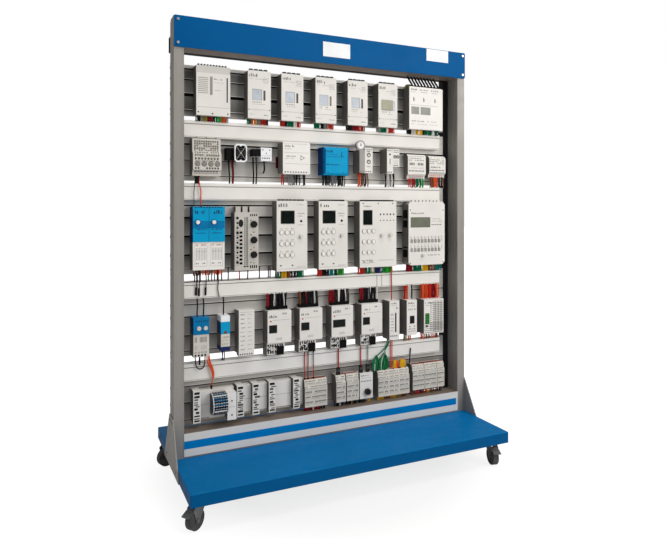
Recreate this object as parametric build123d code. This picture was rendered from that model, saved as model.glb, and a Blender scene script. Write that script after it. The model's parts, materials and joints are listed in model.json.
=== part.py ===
"""Wiring installation trainer: a mobile rack with five rows of wired modules.

Frame: millimetres, +Z up, +X to the right, +Y to the back.
The origin is on the floor under the middle of the base platform.
"""

from build123d import *
import math
import os

# Base platform and casters
rack_width = 1400.0
platform_depth = 716.0
platform_height = 47.0
platform_sheet = 3.0
platform_edge_cut = 2.0
base_rail_width = 84.0
caster_height = 100.0
caster_inset_x = 50.0
caster_inset_y = 68.0
caster_plate_size = 80.0
caster_plate_chamfer = 8.0
caster_plate_thickness = 3.0
caster_bolt_spacing = 60.0
swivel_head_radius = 25.0
swivel_head_sides = 18
swivel_head_height = 7.0
kingpin_radius = 5.0
wheel_radius = 37.5
wheel_width = 24.0
wheel_hub_radius = 11.0
wheel_sides = 32
caster_trail = 30.0
fork_sheet = 2.5
fork_crown_back = 24.0
fork_crown_length = 66.0
fork_crown_chamfer = 10.0
fork_crown_thickness = 4.0
fork_leg_end_radius = 10.0
axle_radius = 4.0
axle_head_radius = 6.5
axle_head_height = 3.0
pedal_pin_radius = 2.5
pedal_pin_s = 46.0
pedal_pin_z = 78.0
pedal_pad_start = 58.0
pedal_reach = 80.0
pedal_pad_width = 34.0
pedal_pad_drop = 12.0
pedal_sheet = 3.0
pedal_ear_inset = 3.5
front_left_swivel = 216.5
front_right_swivel = 256.2
rear_left_swivel = 200.0
rear_right_swivel = 215.0

# Clearances
running_gap = 0.3
pin_gap = 0.05

# Pins and the bores round them are fluted: the pin lies inside its circle, the bore outside it
pin_sides = 12

# Upright frame
post_width = 40.0
post_depth = 80.0
post_wall = 3.0
post_groove_width = 9.0
post_groove_depth = 1.2
post_groove_offset = 20.0
post_cap_height = 16.0
post_cap_chamfer = 11.0
beam_wall = 3.0
header_height = 124.0
header_thickness = 6.0
header_corner = 4.0
sill_height = 97.0
sill_plate_gap = 6.0
sill_plate_thickness = 2.0
gusset_height = 160.0
gusset_reach = 156.0
gusset_thickness = 4.0
bolt_radius = 6.0
bolt_head_height = 4.0
screw_inset_x = 15.5
screw_inset_z = 16.0
raceway_depth = 36.0
raceway_wall = 2.0
raceway_top_height = 60.0
raceway_visible_width = 30.0

# Slatted wall panels; a slot is a height and a width, and its height is measured from the
# panel's lower edge, or down from the upper edge where it is negative
slat_thickness = 14.0
slat_sheet = 1.5
slat_slot_depth = 8.0
row_1_slots = [(-16.0, 6.0), (-60.0, 5.0), (86.0, 13.0), (23.0, 3.0)]
row_2_slots = [(150.0, 7.0), (84.0, 4.0), (20.0, 4.0)]
row_3_slots = [(282.0, 6.0), (232.0, 8.0), (155.0, 8.0), (78.0, 8.0), (22.0, 3.0)]
row_4_slots = [(210.0, 5.0), (160.0, 6.0), (83.0, 6.0), (20.0, 4.0)]
row_5_slots = [(160.0, 5.0), (93.0, 6.0), (23.0, 4.0)]

# Free heights: under and between the panels, and over the tallest module of each row
row_5_sill_gap = 3.0
row_4_gap_below = 27.0
row_3_gap_below = 28.0
row_2_gap_below = 11.0
row_1_gap_below = 22.0
row_1_gap_above = 49.0
row_1_headroom = 8.0
row_2_headroom = 4.0
row_3_headroom = 1.0
row_4_headroom = 68.0
row_5_headroom = 37.0

# Free widths from the left post to the first module, between modules, and to the wall's right edge
row_1_gaps = [53.0, 75.0, 48.0, 58.0, 57.0, 57.0, 66.0, 35.0]
row_2_gaps = [38.0, 28.0, 30.0, 41.0, 66.0, 51.0, 1.0, 75.5, 0.0, 63.0, 21.0, 12.0]
row_3_gaps = [39.0, 42.0, 81.0, 55.0, 62.0, 67.0, 30.0]
row_4_gaps = [40.0, 49.0, 38.0, 58.0, 39.0, 45.0, 43.0, 39.0, 41.0, 40.0, 42.0]
row_5_gaps = [42.0, 8.0, 1.0, 2.0, 3.0, 3.0, 45.0, 5.0, 4.0, 30.0, 19.0, 2.0, 2.0, 27.0]

# Wire ducts, one at the top of each wall panel under row 1
duct_height = 69.0
duct_depth = 31.0
duct_wall = 2.0
duct_lip_height = 12.0
duct_lip_depth = 3.0
duct_end_gap = 72.0

# Shared module values
module_corner = 3.0
tooth_width = 7.0
tooth_height = 6.0
tooth_depth = 14.0
tooth_inset = 8.0
window_recess = 1.5
window_thickness = 1.0
knob_shaft_radius = 2.0
knob_shaft_length = 8.0
knob_sides = 12
knob_grip_share = 0.85
knob_stand_off = 0.4
key_height = 2.0
key_sides = 8

# Row 1: controller, five meters, network analyser
row_1_depth = 57.0
row_1_module_height = 202.0
row_1_drop = 2.0
controller_width = 140.0
controller_band_height = 30.0
controller_band_step = 3.0
controller_slot_inset = 125.0
controller_slot_bottom = 57.0
controller_slot_height = 101.0
controller_slot_width = 4.0
controller_bar_inset = 57.0
controller_bar_bottom = 85.0
controller_bar_height = 73.0
controller_bar_width = 9.0
meter_width = 101.0
meter_count = 5
meter_window_left = 20.0
meter_window_bottom = 79.0
meter_window_width = 40.0
meter_window_height = 44.0
last_meter_window_width = 68.0
meter_groove_bottom = 37.0
meter_groove_width = 1.6
meter_teeth = 4
controller_teeth = 10
analyser_width = 183.0
analyser_lip_width = 13.0
analyser_lip_step = 9.0
analyser_windows = [(12.0, 42.0), (64.0, 54.0)]
analyser_window_bottom = 72.0
analyser_window_height = 34.0
analyser_teeth = 8

# Row 2: relays, fan, socket, supplies, timers, terminal modules
row_2_depth = 66.0
relay_module_width = 29.0
relay_count = 4
relay_bottom = 18.0
relay_height = 151.0
relay_shoulder = 14.0
fan_width = 54.0
fan_guard_inset = 28.0
fan_height = 76.0
fan_bottom = 78.0
fan_body_bottom = 87.0
fan_body_height = 50.0
fan_body_depth = 44.0
fan_guard_depth = 14.0
fan_guard_rim = 5.0
fan_guard_corner = 16.0
fan_guard_recess = 5.0
socket_width = 49.0
socket_bottom = 88.0
socket_height = 57.0
socket_depth = 40.0
socket_body_width = 36.0
socket_body_height = 31.0
socket_body_bottom = 106.0
white_supply_width = 126.0
white_supply_bottom = 34.0
white_supply_height = 137.0
blue_supply_width = 126.0
blue_supply_bottom = 34.0
blue_supply_height = 124.0
blue_supply_chamfer = 9.0
timer_count = 4
timer_widths = [26.0, 40.5, 33.0, 34.0]
timer_bottoms = [48.0, 48.0, 48.0, 80.0]
timer_heights = [104.0, 115.0, 115.0, 84.0]
hour_dial_radius = 23.0
hour_dial_thickness = 12.0
hour_dial_sides = 24
hour_dial_sink = 2.0
terminal_module_widths = [101.0, 94.0]
terminal_module_bottoms = [27.0, 36.0]
terminal_module_heights = [118.0, 105.0]
terminal_module_depth = 40.0
terminal_module_step = 12.0

# Row 3: surge block, amplifier, controllers
row_3_depth = 58.0
controller_height = 303.0
surge_module_width = 65.0
surge_bottom = 20.0
surge_height = 257.0
surge_blue_height = 143.0
surge_blue_step = 3.0
surge_button_radius = 8.0
surge_button_height = 6.0
button_sides = 10
surge_button_z = 214.0
surge_button_insets = [19.5, 20.5]
amplifier_module_width = 51.5
amplifier_bottom = 12.0
amplifier_height = 242.0
amplifier_knob_inset = 83.0
amplifier_knob_heights = [203.5, 137.5, 76.0]
amplifier_knob_radius = 14.0
amplifier_knob_height = 12.0
amplifier_vent_inset = 50.0
amplifier_vent_width = 3.0
amplifier_vent_pitch = 6.0
amplifier_vent_bottom = 22.0
amplifier_vent_height = 200.0
keypad_width = 141.0
keypad_window_left = 20.0
keypad_window_width = 60.0
keypad_window_bottom = 205.0
keypad_window_height = 54.0
keypad_key_left = 22.0
keypad_key_pitch_x = 24.5
keypad_key_bottom = 69.0
keypad_key_pitch_z = 48.5
keypad_key_radius = 9.5
keypad_knob_inset = 111.0
keypad_knob_z = 149.0
keypad_knob_radius = 9.0
keypad_knob_height = 13.0
keypad_teeth = 7
two_knob_width = 193.0
two_knob_window_left = 19.0
two_knob_window_width = 45.0
two_knob_window_bottom = 196.0
two_knob_window_height = 65.0
two_knob_insets = [114.0, 159.0]
two_knob_z = 146.0
two_knob_teeth = 9
wide_width = 206.0
wide_chamfer = 13.0
wide_window_left = 14.0
wide_window_width = 106.0
wide_window_bottom = 182.0
wide_window_height = 44.0
wide_key_left = 17.0
wide_key_pitch = 19.5
wide_key_count = 10
wide_key_width = 7.0
wide_key_height = 24.0
wide_key_bottoms = [73.0, 115.0]
wide_knob_inset = 79.0
wide_knob_z = 46.0
wide_knob_radius = 9.0
wide_teeth = 8

# Row 4: surge modules, slim supply, four drives, slim modules
row_4_depth = 65.0
double_surge_width = 63.0
double_surge_bottom = 6.0
double_surge_height = 158.0
double_surge_blue_height = 67.0
double_surge_buttons = [21.5, 48.5]
double_surge_button_z = 122.0
single_surge_width = 37.0
single_surge_bottom = 21.0
single_surge_height = 143.0
single_surge_cut = 6.0
slim_supply_width = 67.0
slim_supply_bottom = -8.0
slim_supply_height = 190.0
slim_supply_groove_width = 22.0
drive_count = 4
drive_width = 107.0
drive_bottom = 32.0
drive_height = 138.0
drive_terminal_height = 54.0
drive_terminal_setback = 10.0
drive_terminal_width = 80.0
drive_window_left = 8.0
drive_window_widths = [33.0, 36.0, 59.0, 33.0]
drive_window_bottom = 44.0
drive_window_height = 32.0
slim_module_widths = [53.0, 56.0, 112.0]
slim_module_bottoms = [-6.0, 6.0, 5.0]
slim_module_heights = [180.0, 166.0, 164.0]
slim_window_left = 18.0
slim_window_width = 23.0
slim_window_bottom = 56.0
slim_window_height = 34.0
rib_count = 6
rib_pitch = 9.0
rib_left = 55.0
rib_depth = 2.0
rib_width = 4.0

# Row 5: input modules, plug, terminal blocks, dimmer
row_5_depth = 52.0
io_width = 30.0
io_bottom = 22.0
io_height = 130.0
io_plate_widths = [143.0, 36.0, 40.0, 78.0, 22.0]
io_plate_depth = 30.0
plug_inset = 73.0
plug_length = 62.0
plug_radius = 44.0
plug_axis_gap = 20.0
plug_bottom = 47.0
plug_flange_width = 38.0
plug_flange_height = 112.0
plug_flange_bottom = 22.0
block_widths = [107.0, 47.0, 62.0, 168.0, 66.0, 70.0, 41.0]
block_bottoms = [18.0, 20.0, 20.0, 16.0, 24.0, 24.0, 24.0]
block_height = 119.0
block_tier_height = 26.0
block_tier_step = 6.0
dimmer_width = 67.0
dimmer_bottom = 20.0
dimmer_height = 116.0
dimmer_knob_inset = 37.5
dimmer_knob_z = 51.0
dimmer_knob_radius = 15.0
dimmer_knob_height = 14.0

# Wiring
wire_radius = 2.0
wire_sides = 4
wire_pitch = 18.0
wire_set_back = 22.0
loom_margin = 9.0
lead_radius = 2.4
thin_lead_radius = 1.6
lead_sides = 5
lead_front_gap = 2.5
lead_arc_share = 0.45
lead_plug_width = 20.0
lead_plug_height = 38.0

# Values worked out from the ones above
deck = caster_height + platform_height
caster_x = rack_width / 2 - caster_inset_x
caster_y = platform_depth / 2 - caster_inset_y
wall_y = post_depth / 2
post_centre_x = (rack_width - post_width) / 2
inner_x = rack_width / 2 - post_width
wall_left = -rack_width / 2
wall_right = inner_x - raceway_visible_width
duct_left = -inner_x
duct_right = inner_x - duct_end_gap

# Panel heights, from the tallest module of each row and the duct over it
row_1_height = row_1_module_height - row_1_drop + row_1_headroom
row_2_height = white_supply_bottom + white_supply_height + row_2_headroom + duct_height
row_3_height = controller_height + row_3_headroom + duct_height
row_4_height = drive_bottom + drive_height + row_4_headroom + duct_height
row_5_height = io_bottom + io_height + row_5_headroom + duct_height

# Panel places, stacked from the bottom beam up to the header
row_5_base = deck + sill_height + row_5_sill_gap
row_4_base = row_5_base + row_5_height + row_4_gap_below
row_3_base = row_4_base + row_4_height + row_3_gap_below
row_2_base = row_3_base + row_3_height + row_2_gap_below
row_1_panel = row_2_base + row_2_height + row_1_gap_below
row_1_base = row_1_panel - row_1_drop
header_bottom = row_1_panel + row_1_height + row_1_gap_above
rack_top = header_bottom + header_height
post_height = rack_top - deck
panel_bases = [row_1_panel, row_2_base, row_3_base, row_4_base, row_5_base]
panel_heights = [row_1_height, row_2_height, row_3_height, row_4_height, row_5_height]
panel_slots = [row_1_slots, row_2_slots, row_3_slots, row_4_slots, row_5_slots]
duct_tops = [base + height for base, height in zip(panel_bases[1:], panel_heights[1:])]

lead_y = wall_y - duct_depth - duct_lip_depth / 2 - lead_front_gap - lead_radius

fork_inner = wheel_width / 2 + 2.0
hub_half_width = fork_inner - running_gap
crown_top = caster_height - caster_plate_thickness - swivel_head_height - running_gap


def lay_out(widths, gaps):
    """Left edges of a row's modules; the free widths share what the modules leave."""
    free = wall_right + inner_x - sum(widths)
    share = free / sum(gaps)
    lefts = []
    at = -inner_x
    for width, gap in zip(widths, gaps):
        at += gap * share
        lefts.append(at)
        at += width
    return lefts


# Module places
row_1_widths = [controller_width]
row_1_widths += [meter_width] * meter_count
row_1_widths += [analyser_width + analyser_lip_width]
row_1_lefts = lay_out(row_1_widths, row_1_gaps)
controller_left = row_1_lefts[0]
meter_lefts = row_1_lefts[1:-1]
analyser_left = row_1_lefts[-1]

fan_unit_width = fan_guard_inset + fan_width
row_2_widths = [relay_count * relay_module_width, fan_unit_width]
row_2_widths += [socket_body_width + socket_width, white_supply_width, blue_supply_width]
row_2_widths += timer_widths + terminal_module_widths
row_2_lefts = lay_out(row_2_widths, row_2_gaps)
relay_left, fan_body_left, socket_body_left, white_supply_left, blue_supply_left = row_2_lefts[:5]
timer_lefts = row_2_lefts[5:5 + timer_count]
terminal_module_lefts = row_2_lefts[5 + timer_count:]

row_3_widths = [2 * surge_module_width, 2 * amplifier_module_width]
row_3_widths += [keypad_width, keypad_width, two_knob_width, wide_width]
row_3_lefts = lay_out(row_3_widths, row_3_gaps)
surge_left, amplifier_left = row_3_lefts[:2]
keypad_lefts = row_3_lefts[2:4]
two_knob_left, wide_left = row_3_lefts[4:]
amplifier_knob_x = amplifier_left + amplifier_knob_inset

row_4_widths = [double_surge_width, single_surge_width, slim_supply_width]
row_4_widths += [drive_width] * drive_count + slim_module_widths
row_4_lefts = lay_out(row_4_widths, row_4_gaps)
double_surge_left, single_surge_left, slim_supply_left = row_4_lefts[:3]
drive_lefts = row_4_lefts[3:3 + drive_count]
slim_module_lefts = row_4_lefts[3 + drive_count:]

row_5_widths = [io_width + plate_width for plate_width in io_plate_widths]
row_5_widths += block_widths[:3] + [dimmer_width] + block_widths[3:]
row_5_lefts = lay_out(row_5_widths, row_5_gaps)
io_lefts = row_5_lefts[:5]
block_lefts = row_5_lefts[5:8] + row_5_lefts[9:]
dimmer_left = row_5_lefts[8]


def front_block(left, width, bottom, height, back_y, front_y):
    """A block seen from the front."""
    outline = Rectangle(width, height)
    placed = Plane.XZ.offset(-back_y) * Pos(left + width / 2, bottom + height / 2) * outline
    return extrude(placed, amount=back_y - front_y)


def pin_outline(radius):
    """A pin's section, inside the circle of the given radius."""
    return RegularPolygon(radius, pin_sides)


def bore_outline(radius):
    """A bore's section, outside the circle of its pin's radius and the gap."""
    return RegularPolygon(radius + pin_gap, pin_sides, major_radius=False)


def side_prism(points, left, width):
    """A profile of (y, z) points carried along X."""
    outline = make_face(Polyline(*points, close=True))
    return extrude(Plane.YZ.offset(left) * outline, amount=width)


def chamfered_block(left, width, bottom, height, back_y, front_y, cut):
    """A block whose four upright front corners are cut off."""
    right = left + width
    top = bottom + height
    points = [
        (left + cut, bottom),
        (right - cut, bottom),
        (right, bottom + cut),
        (right, top - cut),
        (right - cut, top),
        (left + cut, top),
        (left, top - cut),
        (left, bottom + cut),
    ]
    outline = make_face(Polyline(*points, close=True))
    return extrude(Plane.XZ.offset(-back_y) * outline, amount=back_y - front_y)


def window_recess_cut(left, width, bottom, height, front_y):
    """The pocket that a display pane lies in."""
    return front_block(left, width, bottom, height, front_y + window_recess, front_y - 1)


def window_pane(left, width, bottom, height, front_y):
    """A display pane, lying on the floor of its pocket."""
    edge = running_gap
    back = front_y + window_recess
    return front_block(
        left + edge,
        width - 2 * edge,
        bottom + edge,
        height - 2 * edge,
        back,
        back - window_thickness,
    )


def terminal_teeth(left, width, top, front_y, count):
    """A row of terminal mouths along the top edge of a housing."""
    pitch = (width - 2 * tooth_inset) / count
    teeth = []
    for index in range(count):
        start = left + tooth_inset + index * pitch
        tooth = front_block(
            start,
            pitch - tooth_width,
            top,
            tooth_height,
            front_y + tooth_depth,
            front_y + 2,
        )
        teeth.append(tooth)
    return teeth


def fused(first, others):
    """One solid from a body and what is moulded on it."""
    for other in others:
        first = first + other
    return first


def left_or_right_post(side):
    """A grooved tube with a welded, chamfered end cap; side is -1 or 1."""
    outline = Rectangle(post_width, post_depth)
    outline -= Rectangle(post_width - 2 * post_wall, post_depth - 2 * post_wall)
    groove_x = -side * (post_width - post_groove_depth) / 2
    for groove_y in (-post_groove_offset, post_groove_offset):
        outline -= Pos(groove_x, groove_y) * Rectangle(post_groove_depth, post_groove_width)
    tube = extrude(outline, amount=post_height - post_cap_height)
    half = post_depth / 2
    cap = side_prism(
        [
            (-half, 0),
            (half, 0),
            (half, post_cap_height - post_cap_chamfer),
            (half - post_cap_chamfer, post_cap_height),
            (-half, post_cap_height),
        ],
        -post_width / 2,
        post_width,
    )
    tube = tube + Pos(0, 0, post_height - post_cap_height) * cap
    return Pos(side * post_centre_x, 0, deck) * tube


def cross_beam(bottom, height):
    """A rectangular tube from post to post."""
    outline = Rectangle(post_depth, height)
    outline -= Rectangle(post_depth - 2 * beam_wall, height - 2 * beam_wall)
    placed = Plane.YZ.offset(-inner_x) * Pos(0, bottom + height / 2) * outline
    return extrude(placed, amount=2 * inner_x)


def header_panel():
    """The thin plate in front of the top beam."""
    return chamfered_block(
        -rack_width / 2,
        rack_width,
        header_bottom,
        header_height,
        -wall_y,
        -wall_y - header_thickness,
        header_corner,
    )


def sill_panel():
    """The striped plate in front of the bottom beam."""
    return front_block(
        -inner_x,
        2 * inner_x,
        deck + sill_plate_gap,
        sill_height - sill_plate_gap,
        -wall_y,
        -wall_y - sill_plate_thickness,
    )


def gusset(side):
    """The side plate that ties a post to the platform's skirt."""
    half = post_depth / 2
    points = [
        (-gusset_reach, caster_height),
        (gusset_reach, caster_height),
        (half, deck + gusset_height),
        (-half, deck + gusset_height),
    ]
    left = rack_width / 2 if side > 0 else -rack_width / 2 - gusset_thickness
    return side_prism(points, left, gusset_thickness)


def bolt_head(x, y, z, direction):
    """A hexagon head whose seat is at the given place and which stands out along direction."""
    plane = Plane(origin=(x, y, z), z_dir=direction)
    return extrude(plane * RegularPolygon(bolt_radius, 6), amount=bolt_head_height)


def frame_bolts():
    """The heads on the header, the gussets and the caster plates."""
    heads = []
    for side in (-1, 1):
        for z in (header_bottom + screw_inset_z, rack_top - screw_inset_z):
            x = side * (rack_width / 2 - screw_inset_x)
            heads.append(bolt_head(x, -wall_y - header_thickness, z, (0, -1, 0)))
        plate_x = side * (rack_width / 2 + gusset_thickness)
        for y in (-post_depth / 4, post_depth / 4):
            bolt_z = deck + gusset_height - post_depth / 4
            heads.append(bolt_head(plate_x, y, bolt_z, (side, 0, 0)))
        for y in (-gusset_reach * 2 / 3, gusset_reach * 2 / 3):
            skirt_z = caster_height + platform_height / 2
            heads.append(bolt_head(plate_x, y, skirt_z, (side, 0, 0)))
    plate_z = caster_height - caster_plate_thickness
    half = caster_bolt_spacing / 2
    for x, y in caster_places():
        for dx in (-half, half):
            for dy in (-half, half):
                heads.append(bolt_head(x + dx, y + dy, plate_z, (0, 0, -1)))
    return heads


def base_platform():
    """A folded steel tray, open underneath, with a cut edge round its top."""
    on_floor_side = (Align.CENTER, Align.CENTER, Align.MIN)
    tray = Box(rack_width, platform_depth, platform_height, align=on_floor_side)
    top_edges = tray.faces().sort_by(Axis.Z)[-1].edges()
    corner_edges = tray.edges().filter_by(Axis.Z)
    tray = chamfer(corner_edges + top_edges, platform_edge_cut)
    hollow = Box(
        rack_width - 2 * platform_sheet,
        platform_depth - 2 * platform_sheet,
        platform_height - platform_sheet,
        align=on_floor_side,
    )
    return Pos(0, 0, caster_height) * (tray - hollow)


def base_rails():
    """The tubes inside the tray: one over each pair of casters and one under the posts."""
    rail_height = platform_height - platform_sheet
    length = platform_depth - 2 * platform_sheet
    outline = Rectangle(base_rail_width, rail_height)
    outline -= Rectangle(base_rail_width - 2 * beam_wall, rail_height - 2 * beam_wall)
    rails = []
    for side in (-1, 1):
        plane = Plane.XZ.offset(-length / 2)
        placed = plane * Pos(side * caster_x, caster_height + rail_height / 2) * outline
        rails.append(extrude(placed, amount=length))
    tie_outline = Rectangle(post_depth, rail_height)
    tie_outline -= Rectangle(post_depth - 2 * beam_wall, rail_height - 2 * beam_wall)
    tie_half = caster_x - base_rail_width / 2
    tie_plane = Plane.YZ.offset(-tie_half)
    tie = extrude(
        tie_plane * Pos(0, caster_height + rail_height / 2) * tie_outline,
        amount=2 * tie_half,
    )
    rails.append(tie)
    return rails


def slat_panel(base, height, slots):
    """A folded sheet with slots pressed into its front and a flange along each edge."""
    back = wall_y + slat_thickness
    inner = wall_y + slat_sheet
    top = base + height
    front_points = []
    inner_points = []
    placed = [(top + z if z < 0 else base + z, width) for z, width in slots]
    for slot_z, slot_width in sorted(placed):
        low = slot_z - slot_width / 2
        high = low + slot_width
        floor = wall_y + slat_slot_depth
        front_points += [(wall_y, low), (floor, low), (floor, high), (wall_y, high)]
        inner_points += [
            (inner, low - slat_sheet),
            (floor + slat_sheet, low - slat_sheet),
            (floor + slat_sheet, high + slat_sheet),
            (inner, high + slat_sheet),
        ]
    outline = [(back, base), (wall_y, base)] + front_points + [(wall_y, top), (back, top)]
    outline += [(back, top - slat_sheet), (inner, top - slat_sheet)]
    outline += inner_points[::-1]
    outline += [(inner, base + slat_sheet), (back, base + slat_sheet)]
    return side_prism(outline, wall_left, wall_right - wall_left)


def wire_duct(top):
    """The trough of a wire duct, open at its front."""
    cover = duct_lip_depth
    front = wall_y - duct_depth + cover
    low = top - duct_height
    points = [
        (front, low),
        (wall_y, low),
        (wall_y, top),
        (front, top),
        (front, top - duct_wall),
        (wall_y - duct_wall, top - duct_wall),
        (wall_y - duct_wall, low + duct_wall),
        (front, low + duct_wall),
    ]
    return side_prism(points, duct_left, duct_right - duct_left)


def duct_cover(top):
    """The cover of a duct, with a raised lip along its top edge."""
    front = wall_y - duct_depth
    back = front + duct_lip_depth
    low = top - duct_height
    lip = front - duct_lip_depth / 2
    points = [
        (front, low),
        (back, low),
        (back, top),
        (lip, top),
        (lip, top - duct_lip_height),
        (front, top - duct_lip_height),
    ]
    return side_prism(points, duct_left, duct_right - duct_left)


def raceway_tube(width, height):
    """The section of the dark cable raceway behind the posts."""
    outline = Rectangle(width, height)
    outline -= Rectangle(width - 2 * raceway_wall, height - 2 * raceway_wall)
    return outline


def cable_raceway():
    """A run along the top beam and a run down the right post, both behind the frame."""
    middle_y = wall_y + raceway_depth / 2
    top_section = raceway_tube(raceway_depth, raceway_top_height)
    top_plane = Plane.YZ.offset(-rack_width / 2)
    top_centre = Pos(middle_y, header_bottom + raceway_top_height / 2)
    top_run = extrude(top_plane * top_centre * top_section, amount=rack_width)
    side_width = rack_width / 2 - wall_right
    side_section = raceway_tube(side_width, raceway_depth)
    side_plane = Plane.XY.offset(deck)
    side_centre = Pos(wall_right + side_width / 2, middle_y)
    side_run = extrude(side_plane * side_centre * side_section, amount=header_bottom - deck)
    return [top_run, side_run]


def caster_places():
    """The four swivel axes."""
    return [
        (-caster_x, -caster_y),
        (caster_x, -caster_y),
        (-caster_x, caster_y),
        (caster_x, caster_y),
    ]


def caster_plate(x, y):
    """A fixed top plate with the swivel head under it and the kingpin's bore through both."""
    low = caster_height - caster_plate_thickness
    head_low = low - swivel_head_height
    outline = chamfer(
        Rectangle(caster_plate_size, caster_plate_size).vertices(), caster_plate_chamfer
    )
    plate = extrude(Plane.XY.offset(low) * outline, amount=caster_plate_thickness)
    head = RegularPolygon(swivel_head_radius, swivel_head_sides)
    plate += extrude(Plane.XY.offset(head_low) * head, amount=swivel_head_height)
    bore_length = caster_height - head_low
    plate -= extrude(Plane.XY.offset(head_low) * bore_outline(kingpin_radius), amount=bore_length)
    return Pos(x, y, 0) * plate


def swivel_frame(x, y, angle):
    """Local +X is the trail direction of a caster."""
    return Pos(x, y, 0) * Rot(0, 0, angle)


def fork_leg(inner, outer, with_brake):
    """One leg of the fork, between two distances across the wheel."""
    end = fork_leg_end_radius
    corner = end * 0.6
    points = [
        (-fork_crown_back + fork_crown_chamfer, crown_top),
        (fork_crown_length - fork_crown_back, crown_top),
        (pedal_pin_s + 7, pedal_pin_z + 2),
        (pedal_pin_s + 5, pedal_pin_z - 8),
        (caster_trail + end, wheel_radius),
        (caster_trail + corner, wheel_radius - end),
        (caster_trail - corner, wheel_radius - end),
        (caster_trail - end, wheel_radius),
    ]
    outline = make_face(Polyline(*points, close=True))
    if with_brake:
        outline -= Pos(pedal_pin_s, pedal_pin_z) * bore_outline(pedal_pin_radius)
    return extrude(Plane.XZ.offset(inner) * outline, amount=outer - inner)


def caster_fork(x, y, angle, with_brake):
    """The swivelling fork with its kingpin, and an axle with a hexagon head at each end."""
    outer = fork_inner + fork_sheet
    fork = fork_leg(fork_inner, outer, with_brake) + fork_leg(-outer, -fork_inner, with_brake)
    crown_plane = Plane.XY.offset(crown_top - fork_crown_thickness)
    crown = Rectangle(fork_crown_length, 2 * outer, align=(Align.MIN, Align.CENTER))
    crown = chamfer(crown.vertices().sort_by(Axis.X)[:2], fork_crown_chamfer)
    fork += extrude(crown_plane * Pos(-fork_crown_back, 0) * crown, amount=fork_crown_thickness)
    pin_length = caster_height - platform_sheet / 3 - crown_top
    fork += extrude(Plane.XY.offset(crown_top) * pin_outline(kingpin_radius), amount=pin_length)
    axle_plane = Plane.XZ.offset(-fork_inner)
    axle = axle_plane * Pos(caster_trail, wheel_radius) * pin_outline(axle_radius)
    fork += extrude(axle, amount=2 * fork_inner)
    head = RegularPolygon(axle_head_radius, 6)
    for seat in (outer, -outer - axle_head_height):
        plane = Plane.XZ.offset(seat) * Pos(caster_trail, wheel_radius)
        fork += extrude(plane * head, amount=axle_head_height)
    return swivel_frame(x, y, angle) * fork


def caster_wheel(x, y, angle):
    """A wheel whose hub runs between the fork legs."""
    tread = Plane.XZ.offset(-wheel_width / 2) * RegularPolygon(wheel_radius, wheel_sides)
    wheel = extrude(tread, amount=wheel_width)
    hub_plane = Plane.XZ.offset(-hub_half_width)
    wheel += extrude(
        hub_plane * RegularPolygon(wheel_hub_radius, pin_sides), amount=2 * hub_half_width
    )
    wheel -= extrude(hub_plane * bore_outline(axle_radius), amount=2 * hub_half_width)
    return swivel_frame(x, y, angle) * Pos(caster_trail, 0, wheel_radius) * wheel


def brake_pedal(x, y, angle):
    """A foot pedal on a pin across the fork, with a shoe over the tyre."""
    ear_outer = fork_inner - pedal_ear_inset / 2
    pad_top = pedal_pin_z - 2.0
    pad_tip = pad_top - pedal_pad_drop
    pad = [
        (pedal_pad_start - 4, pad_top),
        (pedal_reach, pad_tip),
        (pedal_reach, pad_tip - pedal_sheet),
        (pedal_pad_start - 4, pad_top - pedal_sheet),
    ]
    arm = [
        (pedal_pin_s - 4, pedal_pin_z + 3),
        (pedal_pin_s + 4, pedal_pin_z + 4),
        (pedal_pad_start + 4, pad_top - 1),
        (pedal_pad_start, pad_top - pedal_sheet - 2),
        (pedal_pin_s + 5, pedal_pin_z - 5),
        (pedal_pin_s - 2, pedal_pin_z - 4),
    ]
    pad_face = make_face(Polyline(*pad, close=True))
    arm_face = make_face(Polyline(*arm, close=True))
    pad_half = pedal_pad_width / 2
    pedal = extrude(Plane.XZ.offset(-pad_half) * pad_face, amount=pedal_pad_width)
    pedal += extrude(Plane.XZ.offset(-ear_outer) * arm_face, amount=2 * ear_outer)
    pin_half = fork_inner + fork_sheet
    pin = Pos(pedal_pin_s, pedal_pin_z) * pin_outline(pedal_pin_radius)
    pedal += extrude(Plane.XZ.offset(-pin_half) * pin, amount=2 * pin_half)
    return swivel_frame(x, y, angle) * pedal


def knob(x, z, front_y, radius, height):
    """A fluted knob with a shaft that enters its housing."""
    seat = Plane.XZ.offset(-front_y + knob_stand_off) * Pos(x, z)
    skirt = extrude(seat * RegularPolygon(radius, knob_sides), amount=height / 3)
    grip_seat = Plane.XZ.offset(-front_y + knob_stand_off + height / 3) * Pos(x, z)
    grip = RegularPolygon(radius * knob_grip_share, knob_sides)
    body = skirt + extrude(grip_seat * grip, amount=height * 2 / 3)
    shaft_plane = Plane.XZ.offset(-front_y - knob_shaft_length) * Pos(x, z)
    shaft = extrude(
        shaft_plane * pin_outline(knob_shaft_radius),
        amount=knob_shaft_length + knob_stand_off,
    )
    return body + shaft


def knob_bore(x, z, front_y):
    """The bore in a housing that takes a knob's shaft."""
    plane = Plane.XZ.offset(-front_y - knob_shaft_length - 1) * Pos(x, z)
    return extrude(plane * bore_outline(knob_shaft_radius), amount=knob_shaft_length + 2)


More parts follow.
